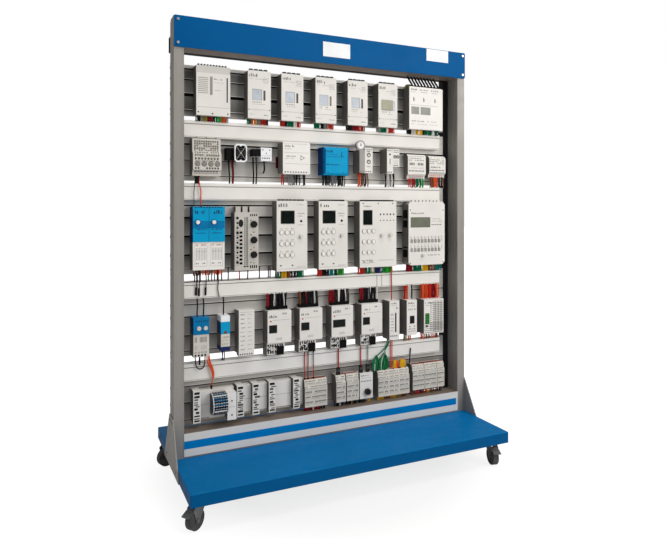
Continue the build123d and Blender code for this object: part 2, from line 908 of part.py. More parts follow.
def row_1_controller():
    """The large controller with its set-back top band, card slot and raised bar."""
    front = wall_y - row_1_depth
    band_bottom = row_1_base + row_1_module_height - controller_band_height
    main_height = row_1_module_height - controller_band_height
    body = front_block(
        controller_left, controller_width, row_1_base, main_height, wall_y, front
    )
    band = front_block(
        controller_left,
        controller_width,
        band_bottom,
        controller_band_height,
        wall_y,
        front + controller_band_step,
    )
    slot = front_block(
        controller_left + controller_slot_inset,
        controller_slot_width,
        row_1_base + controller_slot_bottom,
        controller_slot_height,
        front + 6,
        front - 1,
    )
    bar = front_block(
        controller_left + controller_bar_inset,
        controller_bar_width,
        row_1_base + controller_bar_bottom,
        controller_bar_height,
        front,
        front - 2,
    )
    teeth = terminal_teeth(
        controller_left,
        controller_width,
        row_1_base + row_1_module_height,
        front + controller_band_step,
        controller_teeth,
    )
    return fused(body + band - slot + bar, teeth)


def meter_window(index):
    """Left edge and width of a meter's display."""
    width = last_meter_window_width if index == len(meter_lefts) - 1 else meter_window_width
    return meter_lefts[index] + meter_window_left, width


def row_1_meter(index):
    """One display module with its window pocket and terminal cover joint."""
    front = wall_y - row_1_depth
    left = meter_lefts[index]
    body = chamfered_block(
        left, meter_width, row_1_base, row_1_module_height, wall_y, front, module_corner
    )
    window_left, window_width = meter_window(index)
    body -= window_recess_cut(
        window_left,
        window_width,
        row_1_base + meter_window_bottom,
        meter_window_height,
        front,
    )
    body -= front_block(
        left - 1,
        meter_width + 2,
        row_1_base + meter_groove_bottom,
        meter_groove_width,
        front + meter_groove_width,
        front - 1,
    )
    teeth = terminal_teeth(
        left, meter_width, row_1_base + row_1_module_height, front, meter_teeth
    )
    return fused(body, teeth)


def row_1_analyser():
    """The wide analyser with two displays and a set-back lip on its right."""
    front = wall_y - row_1_depth
    body = front_block(
        analyser_left, analyser_width, row_1_base, row_1_module_height, wall_y, front
    )
    body += front_block(
        analyser_left + analyser_width,
        analyser_lip_width,
        row_1_base,
        row_1_module_height,
        wall_y,
        front + analyser_lip_step,
    )
    for inset, width in analyser_windows:
        body -= window_recess_cut(
            analyser_left + inset,
            width,
            row_1_base + analyser_window_bottom,
            analyser_window_height,
            front,
        )
    teeth = terminal_teeth(
        analyser_left,
        analyser_width,
        row_1_base + row_1_module_height,
        front,
        analyser_teeth,
    )
    return fused(body, teeth)


def row_2_relays():
    """Four relays side by side, with shoulders above and below the nose."""
    front = wall_y - row_2_depth
    low = row_2_base + relay_bottom
    high = low + relay_height
    shoulder = front + relay_shoulder
    nose_low = low + relay_height * 0.16
    nose_high = high - relay_height * 0.42
    points = [
        (wall_y, low),
        (wall_y, high),
        (shoulder, high),
        (shoulder, nose_high + relay_shoulder),
        (front, nose_high),
        (front, nose_low),
        (shoulder, nose_low - relay_shoulder / 2),
        (shoulder, low),
    ]
    relays = []
    for index in range(relay_count):
        left = relay_left + index * relay_module_width
        relays.append(side_prism(points, left, relay_module_width - running_gap))
    return relays


def row_2_fan():
    """The fan: a body on the wall and a rimmed guard in front of its right side."""
    low = row_2_base + fan_body_bottom
    guard_left = fan_body_left + fan_guard_inset
    body = front_block(
        fan_body_left,
        fan_guard_inset + fan_width / 2,
        low,
        fan_body_height,
        wall_y,
        wall_y - fan_body_depth,
    )
    guard_back = wall_y - fan_body_depth
    guard_front = guard_back - fan_guard_depth
    guard_low = row_2_base + fan_bottom
    guard = chamfered_block(
        guard_left, fan_width, guard_low, fan_height, guard_back, guard_front, fan_guard_corner
    )
    rim = fan_guard_rim
    guard -= chamfered_block(
        guard_left + rim,
        fan_width - 2 * rim,
        guard_low + rim,
        fan_height - 2 * rim,
        guard_front + fan_guard_recess,
        guard_front - 1,
        fan_guard_corner - rim / 2,
    )
    return body + guard


def row_2_socket():
    """The small socket with its dark connector body at the left."""
    body = front_block(
        socket_body_left,
        socket_body_width,
        row_2_base + socket_body_bottom,
        socket_body_height,
        wall_y,
        wall_y - socket_depth,
    )
    plate = front_block(
        socket_body_left + socket_body_width,
        socket_width,
        row_2_base + socket_bottom,
        socket_height,
        wall_y,
        wall_y - socket_depth,
    )
    return body + plate


def row_2_white_supply():
    """The white power supply."""
    return chamfered_block(
        white_supply_left,
        white_supply_width,
        row_2_base + white_supply_bottom,
        white_supply_height,
        wall_y,
        wall_y - row_2_depth,
        module_corner,
    )


def row_2_blue_supply():
    """The blue power supply with its bevelled front edges."""
    block = front_block(
        blue_supply_left,
        blue_supply_width,
        row_2_base + blue_supply_bottom,
        blue_supply_height,
        wall_y,
        wall_y - row_2_depth,
    )
    front_edges = block.faces().sort_by(Axis.Y)[0].edges()
    return chamfer(front_edges, blue_supply_chamfer)


def row_2_timers():
    """Two pairs of narrow timers, the first with a round hour dial on its shoulder."""
    front = wall_y - row_2_depth
    timers = []
    for left, width, bottom, height in zip(
        timer_lefts, timer_widths, timer_bottoms, timer_heights
    ):
        timers.append(
            front_block(left, width - running_gap, row_2_base + bottom, height, wall_y, front)
        )
    dial_z = row_2_base + timer_bottoms[0] + timer_heights[0] + hour_dial_radius - hour_dial_sink
    dial_x = timer_lefts[0] + timer_widths[0] / 4
    dial_plane = Plane.XZ.offset(-front - hour_dial_thickness) * Pos(dial_x, dial_z)
    dial_outline = RegularPolygon(hour_dial_radius, hour_dial_sides)
    dial = extrude(dial_plane * dial_outline, amount=hour_dial_thickness)
    timers[0] = timers[0] + dial
    return timers


def row_2_terminal_modules():
    """Two terminal modules with a nose between their terminal rows."""
    modules = []
    for left, width, bottom, height in zip(
        terminal_module_lefts,
        terminal_module_widths,
        terminal_module_bottoms,
        terminal_module_heights,
    ):
        front = wall_y - terminal_module_depth
        low = row_2_base + bottom
        high = low + height
        step = terminal_module_step
        points = [
            (wall_y, low),
            (wall_y, high),
            (front + step, high),
            (front, high - step),
            (front, low + step * 2),
            (front + step, low + step),
            (front + step, low),
        ]
        modules.append(side_prism(points, left, width))
    return modules


def surge_buttons(insets, left, z, front_y):
    """Round indicator buttons moulded on a surge module."""
    buttons = []
    for inset in insets:
        plane = Plane.XZ.offset(-front_y) * Pos(left + inset, z)
        outline = RegularPolygon(surge_button_radius, button_sides)
        buttons.append(extrude(plane * outline, amount=surge_button_height))
    return buttons


def row_3_surge_block():
    """Two surge modules, each with a raised upper half and a lower label field."""
    front = wall_y - row_3_depth
    blocks = []
    for index, button_inset in enumerate(surge_button_insets):
        left = surge_left + index * surge_module_width
        low = row_3_base + surge_bottom
        width = surge_module_width - running_gap
        block = front_block(left, width, low, surge_height, wall_y, front)
        raised_low = low + surge_height - surge_blue_height
        raised_front = front - surge_blue_step
        block += front_block(left, width, raised_low, surge_blue_height, front, raised_front)
        button_z = row_3_base + surge_button_z
        buttons = surge_buttons([button_inset], left, button_z, raised_front)
        blocks.append(fused(block, buttons))
    return blocks


def row_3_amplifier():
    """Two narrow modules with a field of vent slots and three knob bores."""
    front = wall_y - row_3_depth
    low = row_3_base + amplifier_bottom
    left = amplifier_left
    width = 2 * amplifier_module_width
    body = front_block(left, width, low, amplifier_height, wall_y, front)
    for index in range(3):
        slot_x = left + amplifier_vent_inset + (index - 1) * amplifier_vent_pitch
        body -= front_block(
            slot_x - amplifier_vent_width / 2,
            amplifier_vent_width,
            low + amplifier_vent_bottom,
            amplifier_vent_height,
            front + 3,
            front - 1,
        )
    for height in amplifier_knob_heights:
        body -= knob_bore(amplifier_knob_x, row_3_base + height, front)
    plug_top = low + amplifier_height
    for index in range(3):
        plug_left = left + 12 + index * 30
        body += front_block(plug_left, 22, plug_top, 24, wall_y, wall_y - 30)
    return body


def round_keys(left, bottom, front_y, columns, rows, pitch_x, pitch_z, radius):
    """A field of round keys moulded on a housing."""
    keys = []
    for row in range(rows):
        for column in range(columns):
            place = Pos(left + column * pitch_x, bottom + row * pitch_z)
            plane = Plane.XZ.offset(-front_y) * place
            keys.append(extrude(plane * RegularPolygon(radius, key_sides), amount=key_height))
    return keys


def row_3_keypad_controller(left):
    """A controller with a display, nine round keys and one knob bore."""
    front = wall_y - row_3_depth
    body = chamfered_block(
        left, keypad_width, row_3_base, controller_height, wall_y, front, module_corner
    )
    body -= window_recess_cut(
        left + keypad_window_left,
        keypad_window_width,
        row_3_base + keypad_window_bottom,
        keypad_window_height,
        front,
    )
    body -= knob_bore(left + keypad_knob_inset, row_3_base + keypad_knob_z, front)
    keys = round_keys(
        left + keypad_key_left,
        row_3_base + keypad_key_bottom,
        front,
        3,
        3,
        keypad_key_pitch_x,
        keypad_key_pitch_z,
        keypad_key_radius,
    )
    top = row_3_base + controller_height
    teeth = terminal_teeth(left, keypad_width, top, front, keypad_teeth)
    return fused(body, keys + teeth)


def row_3_two_knob_controller():
    """A wider controller with a display, nine round keys and two knob bores."""
    front = wall_y - row_3_depth
    left = two_knob_left
    body = chamfered_block(
        left, two_knob_width, row_3_base, controller_height, wall_y, front, module_corner
    )
    body -= window_recess_cut(
        left + two_knob_window_left,
        two_knob_window_width,
        row_3_base + two_knob_window_bottom,
        two_knob_window_height,
        front,
    )
    for inset in two_knob_insets:
        body -= knob_bore(left + inset, row_3_base + two_knob_z, front)
    keys = round_keys(
        left + keypad_key_left,
        row_3_base + keypad_key_bottom,
        front,
        3,
        3,
        keypad_key_pitch_x,
        keypad_key_pitch_z,
        keypad_key_radius,
    )
    top = row_3_base + controller_height
    teeth = terminal_teeth(left, two_knob_width, top, front, two_knob_teeth)
    return fused(body, keys + teeth)


def row_3_wide_controller():
    """The widest controller: cut corners, a long display, two rows of keys, a knob bore."""
    front = wall_y - row_3_depth
    left = wide_left
    body = chamfered_block(
        left, wide_width, row_3_base, controller_height, wall_y, front, wide_chamfer
    )
    body -= window_recess_cut(
        left + wide_window_left,
        wide_window_width,
        row_3_base + wide_window_bottom,
        wide_window_height,
        front,
    )
    body -= knob_bore(left + wide_knob_inset, row_3_base + wide_knob_z, front)
    keys = []
    for bottom in wide_key_bottoms:
        for index in range(wide_key_count):
            key_left = left + wide_key_left + index * wide_key_pitch - wide_key_width / 2
            keys.append(
                front_block(
                    key_left,
                    wide_key_width,
                    row_3_base + bottom,
                    wide_key_height,
                    front,
                    front - key_height,
                )
            )
    inner_width = wide_width - 2 * wide_chamfer
    top = row_3_base + controller_height
    teeth = terminal_teeth(left + wide_chamfer, inner_width, top, front, wide_teeth)
    return fused(body, keys + teeth)


def row_4_surge_modules():
    """The double surge module and the single rounded one."""
    front = wall_y - row_4_depth
    low = row_4_base + double_surge_bottom
    double = front_block(
        double_surge_left, double_surge_width, low, double_surge_height, wall_y, front
    )
    raised_low = low + double_surge_height - double_surge_blue_height
    raised_front = front - surge_blue_step
    double += front_block(
        double_surge_left,
        double_surge_width,
        raised_low,
        double_surge_blue_height,
        front,
        raised_front,
    )
    button_z = row_4_base + double_surge_button_z
    buttons = surge_buttons(double_surge_buttons, double_surge_left, button_z, raised_front)
    double = fused(double, buttons)
    single = chamfered_block(
        single_surge_left,
        single_surge_width,
        row_4_base + single_surge_bottom,
        single_surge_height,
        wall_y,
        front,
        single_surge_cut,
    )
    return [double, single]


def row_4_drive(index):
    """A drive with a display pocket and a set-back terminal part under it."""
    front = wall_y - row_4_depth
    left = drive_lefts[index]
    low = row_4_base + drive_bottom
    body = chamfered_block(
        left, drive_width, low, drive_height, wall_y, front, module_corner
    )
    body -= window_recess_cut(
        left + drive_window_left,
        drive_window_widths[index],
        low + drive_window_bottom,
        drive_window_height,
        front,
    )
    body += front_block(
        left,
        drive_terminal_width,
        low - drive_terminal_height,
        drive_terminal_height,
        wall_y,
        front + drive_terminal_setback,
    )
    return body


def row_4_slim_modules():
    """The slim supply, two slim modules and the ribbed module."""
    front = wall_y - row_4_depth
    low = row_4_base + slim_supply_bottom
    supply = front_block(
        slim_supply_left, slim_supply_width, low, slim_supply_height, wall_y - duct_depth, front
    )
    supply += front_block(
        slim_supply_left,
        slim_supply_width,
        row_4_base,
        slim_supply_height - 10,
        wall_y,
        wall_y - duct_depth,
    )
    modules = [supply]
    for index in range(len(slim_module_lefts)):
        left = slim_module_lefts[index]
        width = slim_module_widths[index]
        module_low = row_4_base + slim_module_bottoms[index]
        height = slim_module_heights[index]
        module = front_block(left, width, module_low, height, wall_y, front)
        modules.append(module)
    modules[2] -= window_recess_cut(
        slim_module_lefts[1] + slim_window_left,
        slim_window_width,
        row_4_base + slim_module_bottoms[1] + slim_window_bottom,
        slim_window_height,
        front,
    )
    for index in range(rib_count):
        rib_x = slim_module_lefts[2] + rib_left + index * rib_pitch
        modules[3] -= front_block(
            rib_x,
            rib_width,
            row_4_base + slim_module_bottoms[2] + 6,
            slim_module_heights[2] - 12,
            front + rib_depth,
            front - 1,
        )
    return modules


def row_5_io_modules():
    """Five slim input modules, each with a set-back plate at its right."""
    front = wall_y - row_5_depth
    modules = []
    for left, plate_width in zip(io_lefts, io_plate_widths):
        low = row_5_base + io_bottom
        module = front_block(left, io_width, low, io_height, wall_y, front)
        module += front_block(
            left + io_width,
            plate_width,
            low + 6,
            io_height - 12,
            wall_y,
            wall_y - io_plate_depth,
        )
        modules.append(module)
    return modules


def row_5_plug():
    """The round plug lying on its side, in a flange that stands on the first plate."""
    seat_y = wall_y - io_plate_depth
    centre_y = seat_y - plug_axis_gap
    centre_z = row_5_base + plug_bottom + plug_radius
    left = io_lefts[0] + plug_inset
    circle = Pos(centre_y, centre_z) * Circle(plug_radius)
    behind = Pos(seat_y + plug_radius, centre_z) * Rectangle(2 * plug_radius, 3 * plug_radius)
    barrel = extrude(Plane.YZ.offset(left) * (circle - behind), amount=plug_length)
    flange = front_block(
        left + plug_length,
        plug_flange_width,
        row_5_base + plug_flange_bottom,
        plug_flange_height,
        seat_y,
        centre_y - plug_radius / 2,
    )
    return barrel + flange


def row_5_block(index):
    """A terminal block with a stepped upper tier."""
    front = wall_y - row_5_depth
    low = row_5_base + block_bottoms[index]
    high = low + block_height
    points = [
        (wall_y, low),
        (wall_y, high),
        (front + 2 * block_tier_step, high),
        (front + block_tier_step, high - block_tier_height / 2),
        (front + block_tier_step, high - block_tier_height),
        (front, high - block_tier_height - block_tier_step),
        (front, low),
    ]
    return side_prism(points, block_lefts[index], block_widths[index] - running_gap)


def row_5_dimmer():
    """The dimmer with its knob bore."""
    front = wall_y - row_5_depth
    body = front_block(
        dimmer_left,
        dimmer_width - running_gap,
        row_5_base + dimmer_bottom,
        dimmer_height,
        wall_y,
        front,
    )
    x = dimmer_left + dimmer_knob_inset
    return body - knob_bore(x, row_5_base + dimmer_knob_z, front)


def display_windows():
    """Every display pane, each in its own pocket."""
    front_1 = wall_y - row_1_depth
    front_3 = wall_y - row_3_depth
    front_4 = wall_y - row_4_depth
    panes = []
    for index in range(len(meter_lefts)):
        left, width = meter_window(index)
        low = row_1_base + meter_window_bottom
        panes.append(window_pane(left, width, low, meter_window_height, front_1))
    for inset, width in analyser_windows:
        low = row_1_base + analyser_window_bottom
        left = analyser_left + inset
        panes.append(window_pane(left, width, low, analyser_window_height, front_1))
    for keypad_left in keypad_lefts:
        left = keypad_left + keypad_window_left
        low = row_3_base + keypad_window_bottom
        panes.append(
            window_pane(left, keypad_window_width, low, keypad_window_height, front_3)
        )
    panes.append(
        window_pane(
            two_knob_left + two_knob_window_left,
            two_knob_window_width,
            row_3_base + two_knob_window_bottom,
            two_knob_window_height,
            front_3,
        )
    )
    panes.append(
        window_pane(
            wide_left + wide_window_left,
            wide_window_width,
            row_3_base + wide_window_bottom,
            wide_window_height,
            front_3,
        )
    )
    for index in range(len(drive_lefts)):
        left = drive_lefts[index] + drive_window_left
        low = row_4_base + drive_bottom + drive_window_bottom
        width = drive_window_widths[index]
        panes.append(window_pane(left, width, low, drive_window_height, front_4))
    panes.append(
        window_pane(
            slim_module_lefts[1] + slim_window_left,
            slim_window_width,
            row_4_base + slim_module_bottoms[1] + slim_window_bottom,
            slim_window_height,
            front_4,
        )
    )
    return panes


def upright_wire(x, y, low, high):
    """A short straight wire between a terminal and a duct."""
    plane = Plane.XY.offset(low) * Pos(x, y)
    return extrude(plane * RegularPolygon(wire_radius, wire_sides), amount=high - low)


def loom(left, width, low, high):
    """Wires side by side between a housing's edge and the duct above or below it."""
    span = width - 2 * loom_margin
    count = max(1, int(span // wire_pitch))
    start = left + (width - (count - 1) * wire_pitch) / 2
    wires = []
    for index in range(count):
        x = start + index * wire_pitch
        wires.append(upright_wire(x, wall_y - wire_set_back, low, high))
    return wires


def row_1_looms():
    """The wires from the first row into the duct under it."""
    low = duct_tops[0]
    wires = loom(controller_left, controller_width, low, row_1_base)
    for left in meter_lefts:
        wires += loom(left, meter_width, low, row_1_base)
    wires += loom(analyser_left, analyser_width, low, row_1_base)
    return wires


def row_2_looms():
    """The wires from the second row into the duct under it."""
    low = duct_tops[1]
    supply_bottom = row_2_base + white_supply_bottom
    wires = loom(white_supply_left, white_supply_width, low, supply_bottom)
    supply_bottom = row_2_base + blue_supply_bottom
    wires += loom(blue_supply_left, blue_supply_width, low, supply_bottom)
    wires += loom(timer_lefts[1], timer_widths[1], low, row_2_base + timer_bottoms[1])
    fan_bottom_z = row_2_base + fan_body_bottom
    wires += loom(fan_body_left, fan_guard_inset + 2 * loom_margin, low, fan_bottom_z)
    socket_bottom_z = row_2_base + socket_body_bottom
    wires += loom(socket_body_left, socket_body_width + loom_margin, low, socket_bottom_z)
    return wires


def row_3_looms():
    """The wires from the third row into the duct under it."""
    low = duct_tops[2]
    wires = []
    for left in keypad_lefts:
        wires += loom(left, keypad_width, low, row_3_base)
    wires += loom(two_knob_left, two_knob_width, low, row_3_base)
    wires += loom(wide_left + wide_chamfer, wide_width - 2 * wide_chamfer, low, row_3_base)
    return wires


def row_4_looms():
    """The wires from the drives and the two right modules up into the duct over them."""
    high = duct_tops[2] - duct_height
    wires = []
    for left in drive_lefts:
        wires += loom(left, drive_width, row_4_base + drive_bottom + drive_height, high)
    for index in (1, 2):
        low = row_4_base + slim_module_bottoms[index] + slim_module_heights[index]
        wires += loom(slim_module_lefts[index], slim_module_widths[index], low, high)
    return wires


def corner_radius(before, corner, after):
    """The arc at a corner of a lead, as large as its two runs allow."""
    first = Vector(*corner) - Vector(*before)
    second = Vector(*after) - Vector(*corner)
    half_turn = math.radians(first.get_angle(second)) / 2
    return lead_arc_share * min(first.length, second.length) / math.tan(half_turn)


def lead(points, radius):
    """A lead along straight runs joined by tangent arcs."""
    radii = [corner_radius(*points[index:index + 3]) for index in range(len(points) - 2)]
    print("lead radii", [round(value, 1) for value in radii])
    path = FilletPolyline(*points, radius=radii)
    section = Plane(origin=path @ 0, z_dir=path % 0) * RegularPolygon(radius, lead_sides)
    return sweep(section, path=path)


def relay_leads():
    """Two leads from the relays down to the surge block."""
    high = row_2_base + relay_bottom
    low = row_3_base + surge_bottom + surge_height
    right = relay_left + 30
    left = relay_left + 14
    return [
        lead(
            [
                (right, lead_y, high),
                (right, lead_y, high - 30),
                (right + 8, lead_y - 6, high - 62),
                (right + 7, lead_y, low + 30),
                (right + 7, lead_y, low),
            ],
            lead_radius,
        ),
        lead(
            [
                (left, lead_y, high),
                (left, lead_y, high - 31),
                (left - 6, lead_y - 6, high - 62),
                (left - 4, lead_y, low + 31),
                (left - 4, lead_y, low),
            ],
            thin_lead_radius,
        ),
    ]


def surge_leads():
    """The loop under the double surge module and the lead from it to the plate under it."""
    high = row_4_base + double_surge_bottom
    left = double_surge_left + 13
    right = double_surge_left + double_surge_width - 3
    plate_top = row_5_base + io_bottom + io_height - 6
    plate_y = wall_y - io_plate_depth + 5
    return [
        lead(
            [
                (left, lead_y, high),
                (left, lead_y, high - 30),
                (left + 8, lead_y - 4, high - 54),
                (left + 32, lead_y - 4, high - 54),
                (left + 40, lead_y, high - 30),
                (left + 40, lead_y, high),
            ],
            lead_radius,
        ),
        lead(
            [
                (right, lead_y, high),
                (right, lead_y, high - 28),
                (right + 14, lead_y - 7, high - 54),
                (right + 24, lead_y - 7, high - 84),
                (right + 23, lead_y - 2, plate_top + 39),
                (right + 22, plate_y, plate_top + 18),
                (right + 22, plate_y, plate_top),
            ],
            lead_radius,
        ),
    ]


def slim_leads():
    """Two bulging leads from the first slim module to the long terminal block under it."""
    high = row_4_base + slim_module_bottoms[0]
    low = row_5_base + block_bottoms[3] + block_height
    left = slim_module_lefts[0]
    return [
        lead(
            [
                (left + 5, lead_y, high),
                (left + 5, lead_y, high - 24),
                (left - 14, lead_y - 6, high - 46),
                (left - 44, lead_y - 7, high - 63),
                (left - 66, lead_y - 7, high - 88),
                (left - 64, lead_y - 4, low + 32),
                (left - 46, lead_y, low + 18),
                (left - 46, lead_y, low),
            ],
            lead_radius,
        ),
        lead(
            [
                (left + 13, lead_y, high),
                (left + 13, lead_y, high - 26),
                (left - 18, lead_y - 9, high - 52),
                (left - 8, lead_y - 11, high - 80),
                (left + 1, lead_y - 9, low + 38),
                (left - 10, lead_y, low + 20),
                (left - 10, lead_y, low),
            ],
            lead_radius,
        ),
    ]


def block_arches():
    """Two short bridges standing on the long terminal block."""
    top = row_5_base + block_bottoms[3] + block_height
    arches = []
    for inset, rise in ((88, 40), (124, 44)):
        left = block_lefts[3] + inset
        points = [
            (left, lead_y, top),
            (left, lead_y, top + rise / 2),
            (left + 6, lead_y - 3, top + rise),
            (left + 23, lead_y - 3, top + rise),
            (left + 29, lead_y, top + rise / 2),
            (left + 29, lead_y, top),
        ]
        arches.append(lead(points, thin_lead_radius))
    return arches


def plug_leads():
    """Straight leads down from two drives and a controller, some with a plug at the end."""
    duct_front_y = wall_y - duct_depth
    leads = []
    for drive, inset, block in ((1, 34, 0), (1, 50, 0), (1, 76, 0), (2, 46, 1)):
        x = drive_lefts[drive] + inset
        high = row_4_base + drive_bottom - drive_terminal_height
        low = row_5_base + block_bottoms[block] + block_height
        if block:
            plug_left = x - lead_plug_width / 2
            plug_back = duct_front_y
            leads.append(
                front_block(plug_left, lead_plug_width, low, lead_plug_height, plug_back, 0)
            )
            low += lead_plug_height
        leads.append(upright_wire(x, lead_y, low, high))
    for inset in (10, 46):
        x = drive_lefts[3] + inset
        high = row_4_base + drive_bottom - drive_terminal_height
        low = row_5_base + dimmer_bottom + dimmer_height
        plug_left = x - lead_plug_width / 2
        leads.append(
            front_block(plug_left, lead_plug_width, low, lead_plug_height, duct_front_y, 0)
        )
        leads.append(upright_wire(x, lead_y, low + lead_plug_height, high))
    x = slim_module_lefts[0] + slim_module_widths[0] / 2
    low = row_4_base + slim_module_bottoms[0] + slim_module_heights[0]
    leads.append(upright_wire(x, lead_y, low, row_3_base))
    return leads


def nodes():
    """Every node by name, with its solids."""
    front_3 = wall_y - row_3_depth
    front_5 = wall_y - row_5_depth
    parts = {
        "left_post": [left_or_right_post(-1)],
        "right_post": [left_or_right_post(1)],
        "top_beam": [cross_beam(header_bottom, header_height)],
        "bottom_beam": [cross_beam(deck, sill_height)],
        "header_panel": [header_panel()],
        "sill_panel": [sill_panel()],
        "gussets": [gusset(-1), gusset(1)],
        "frame_bolts": frame_bolts(),
        "base_platform": [base_platform()],
        "base_rails": base_rails(),
        "slat_panels": [
            slat_panel(base, height, slots)
            for base, height, slots in zip(panel_bases, panel_heights, panel_slots)
        ],
        "wire_ducts": [wire_duct(top) for top in duct_tops],
        "duct_covers": [duct_cover(top) for top in duct_tops],
        "cable_raceway": cable_raceway(),
        "caster_plates": [caster_plate(x, y) for x, y in caster_places()],
        "row1_controller": [row_1_controller()],
        "row1_meters": [row_1_meter(index) for index in range(len(meter_lefts))],
        "row1_analyser": [row_1_analyser()],
        "row2_relays": row_2_relays(),
        "row2_fan": [row_2_fan()],
        "row2_socket": [row_2_socket()],
        "row2_white_supply": [row_2_white_supply()],
        "row2_blue_supply": [row_2_blue_supply()],
        "row2_timers": row_2_timers(),
        "row2_terminal_modules": row_2_terminal_modules(),
        "row3_surge_block": row_3_surge_block(),
        "row3_amplifier": [row_3_amplifier()],
        "row3_keypad_controllers": [row_3_keypad_controller(left) for left in keypad_lefts],
        "row3_two_knob_controller": [row_3_two_knob_controller()],
        "row3_wide_controller": [row_3_wide_controller()],
        "row4_surge_modules": row_4_surge_modules(),
        "row4_drives": [row_4_drive(index) for index in range(len(drive_lefts))],
        "row4_slim_modules": row_4_slim_modules(),
        "row5_io_modules": row_5_io_modules(),
        "row5_plug": [row_5_plug()],
        "row5_terminal_blocks": [row_5_block(index) for index in range(len(block_lefts))],
        "row5_dimmer": [row_5_dimmer()],
        "display_windows": display_windows(),
        "wire_looms": row_1_looms() + row_2_looms() + row_3_looms() + row_4_looms(),
        "hanging_leads": relay_leads() + surge_leads() + slim_leads() + block_arches(),
        "plug_leads": plug_leads(),
    }
    angles = [front_left_swivel, front_right_swivel, rear_left_swivel, rear_right_swivel]
    names = ["front_left", "front_right", "rear_left", "rear_right"]
    for name, place, angle in zip(names, caster_places(), angles):
        braked = name.startswith("front")
        parts[name + "_fork"] = [caster_fork(*place, angle, braked)]
        parts[name + "_wheel"] = [caster_wheel(*place, angle)]
        if braked:
            parts[name + "_pedal"] = [brake_pedal(*place, angle)]
    for name, left in zip(["left", "right"], keypad_lefts):
        x = left + keypad_knob_inset
        z = row_3_base + keypad_knob_z
        parts[name + "_keypad_knob"] = [
            knob(x, z, front_3, keypad_knob_radius, keypad_knob_height)
        ]
    for name, inset in zip(["left", "right"], two_knob_insets):
        x = two_knob_left + inset
        z = row_3_base + two_knob_z
        parts[name + "_selector_knob"] = [
            knob(x, z, front_3, keypad_knob_radius, keypad_knob_height)
        ]
    parts["wide_controller_knob"] = [
        knob(
            wide_left + wide_knob_inset,
            row_3_base + wide_knob_z,
            front_3,
            wide_knob_radius,
            keypad_knob_height,
        )
    ]
    for name, height in zip(["upper", "middle", "lower"], amplifier_knob_heights):
        parts[name + "_amplifier_knob"] = [
            knob(
                amplifier_knob_x,
                row_3_base + height,
                front_3,
                amplifier_knob_radius,
                amplifier_knob_height,
            )
        ]
    parts["dimmer_knob"] = [
        knob(
            dimmer_left + dimmer_knob_inset,
            row_5_base + dimmer_knob_z,
            front_5,
            dimmer_knob_radius,
            dimmer_knob_height,
        )
    ]
    return parts


def write_parts():
    """Writes one file for each node."""
    os.makedirs("parts", exist_ok=True)
    for name, solids in nodes().items():
        shape = solids[0] if len(solids) == 1 else Compound(children=solids)
        export_step(shape, f"parts/{name}.step")


write_parts()
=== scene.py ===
import json
import math
import random

import bmesh
import bpy
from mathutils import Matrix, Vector

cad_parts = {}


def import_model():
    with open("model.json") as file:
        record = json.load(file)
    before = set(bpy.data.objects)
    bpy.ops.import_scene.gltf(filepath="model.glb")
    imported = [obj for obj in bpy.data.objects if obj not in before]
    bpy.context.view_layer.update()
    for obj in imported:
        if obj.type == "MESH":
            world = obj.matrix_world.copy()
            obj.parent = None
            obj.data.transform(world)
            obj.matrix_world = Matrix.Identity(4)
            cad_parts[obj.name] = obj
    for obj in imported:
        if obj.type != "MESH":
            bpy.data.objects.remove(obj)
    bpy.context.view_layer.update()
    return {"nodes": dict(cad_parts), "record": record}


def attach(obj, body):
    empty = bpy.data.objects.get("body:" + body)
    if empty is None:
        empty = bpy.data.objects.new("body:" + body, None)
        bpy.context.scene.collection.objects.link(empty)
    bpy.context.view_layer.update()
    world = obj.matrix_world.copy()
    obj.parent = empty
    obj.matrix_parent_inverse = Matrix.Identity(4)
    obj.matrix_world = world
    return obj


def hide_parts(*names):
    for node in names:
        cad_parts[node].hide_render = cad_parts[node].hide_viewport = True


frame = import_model()
MM = 0.001
WALL = 40.0
HOUSING_BACK = 38.0
DUCT_TOPS = (1495.0, 1240.0, 839.0, 505.0)
DUCT_LEFT, DUCT_RIGHT = -660, 588
SLAT_LEFT, SLAT_RIGHT = -699.5, 629.5
ROW_3_TOP = 1170
BLOCK_TOP = 382
LEAD_Y = 2.6
LEAD_TOP = 511
KEY_LEFT, KEY_STEP_X = 22, 24.5
KEY_LOW, KEY_STEP_Z = 936, 48.5
FAN_X, FAN_Z = -423, 1367
BARREL_Y, BARREL_Z = -10, 338
TOOTH_MARGIN, TOOTH_TRIM = 8, 6.6
LINE_HEIGHT = 0.25
PHOTO_WIDTH = 666
PHOTO_MIDDLE_ROW = 269
HORIZON_ROW = 209.15
FOCAL_PIXELS = 598.74
SENSOR = 36


def make_camera():
    data = bpy.data.cameras.new("camera")
    camera = bpy.data.objects.new("camera", data)
    bpy.context.scene.collection.objects.link(camera)
    camera.location = (-1.12358, -2.43625, 1.13390)
    camera.rotation_euler = (math.radians(90), 0, -0.4349)
    data.sensor_width = SENSOR
    data.lens = FOCAL_PIXELS / PHOTO_WIDTH * SENSOR
    data.shift_x = 0
    data.shift_y = -(PHOTO_MIDDLE_ROW - HORIZON_ROW) / PHOTO_WIDTH
    data.clip_end = 50
    bpy.context.scene.camera = camera


make_camera()


# Materials


def rgb(r, g, b):
    """An sRGB colour, 0 to 255, as a linear one."""
    out = []
    for v in (r, g, b):
        v = v / 255
        out.append(v / 12.92 if v <= 0.04045 else ((v + 0.055) / 1.055) ** 2.4)
    return (*out, 1.0)


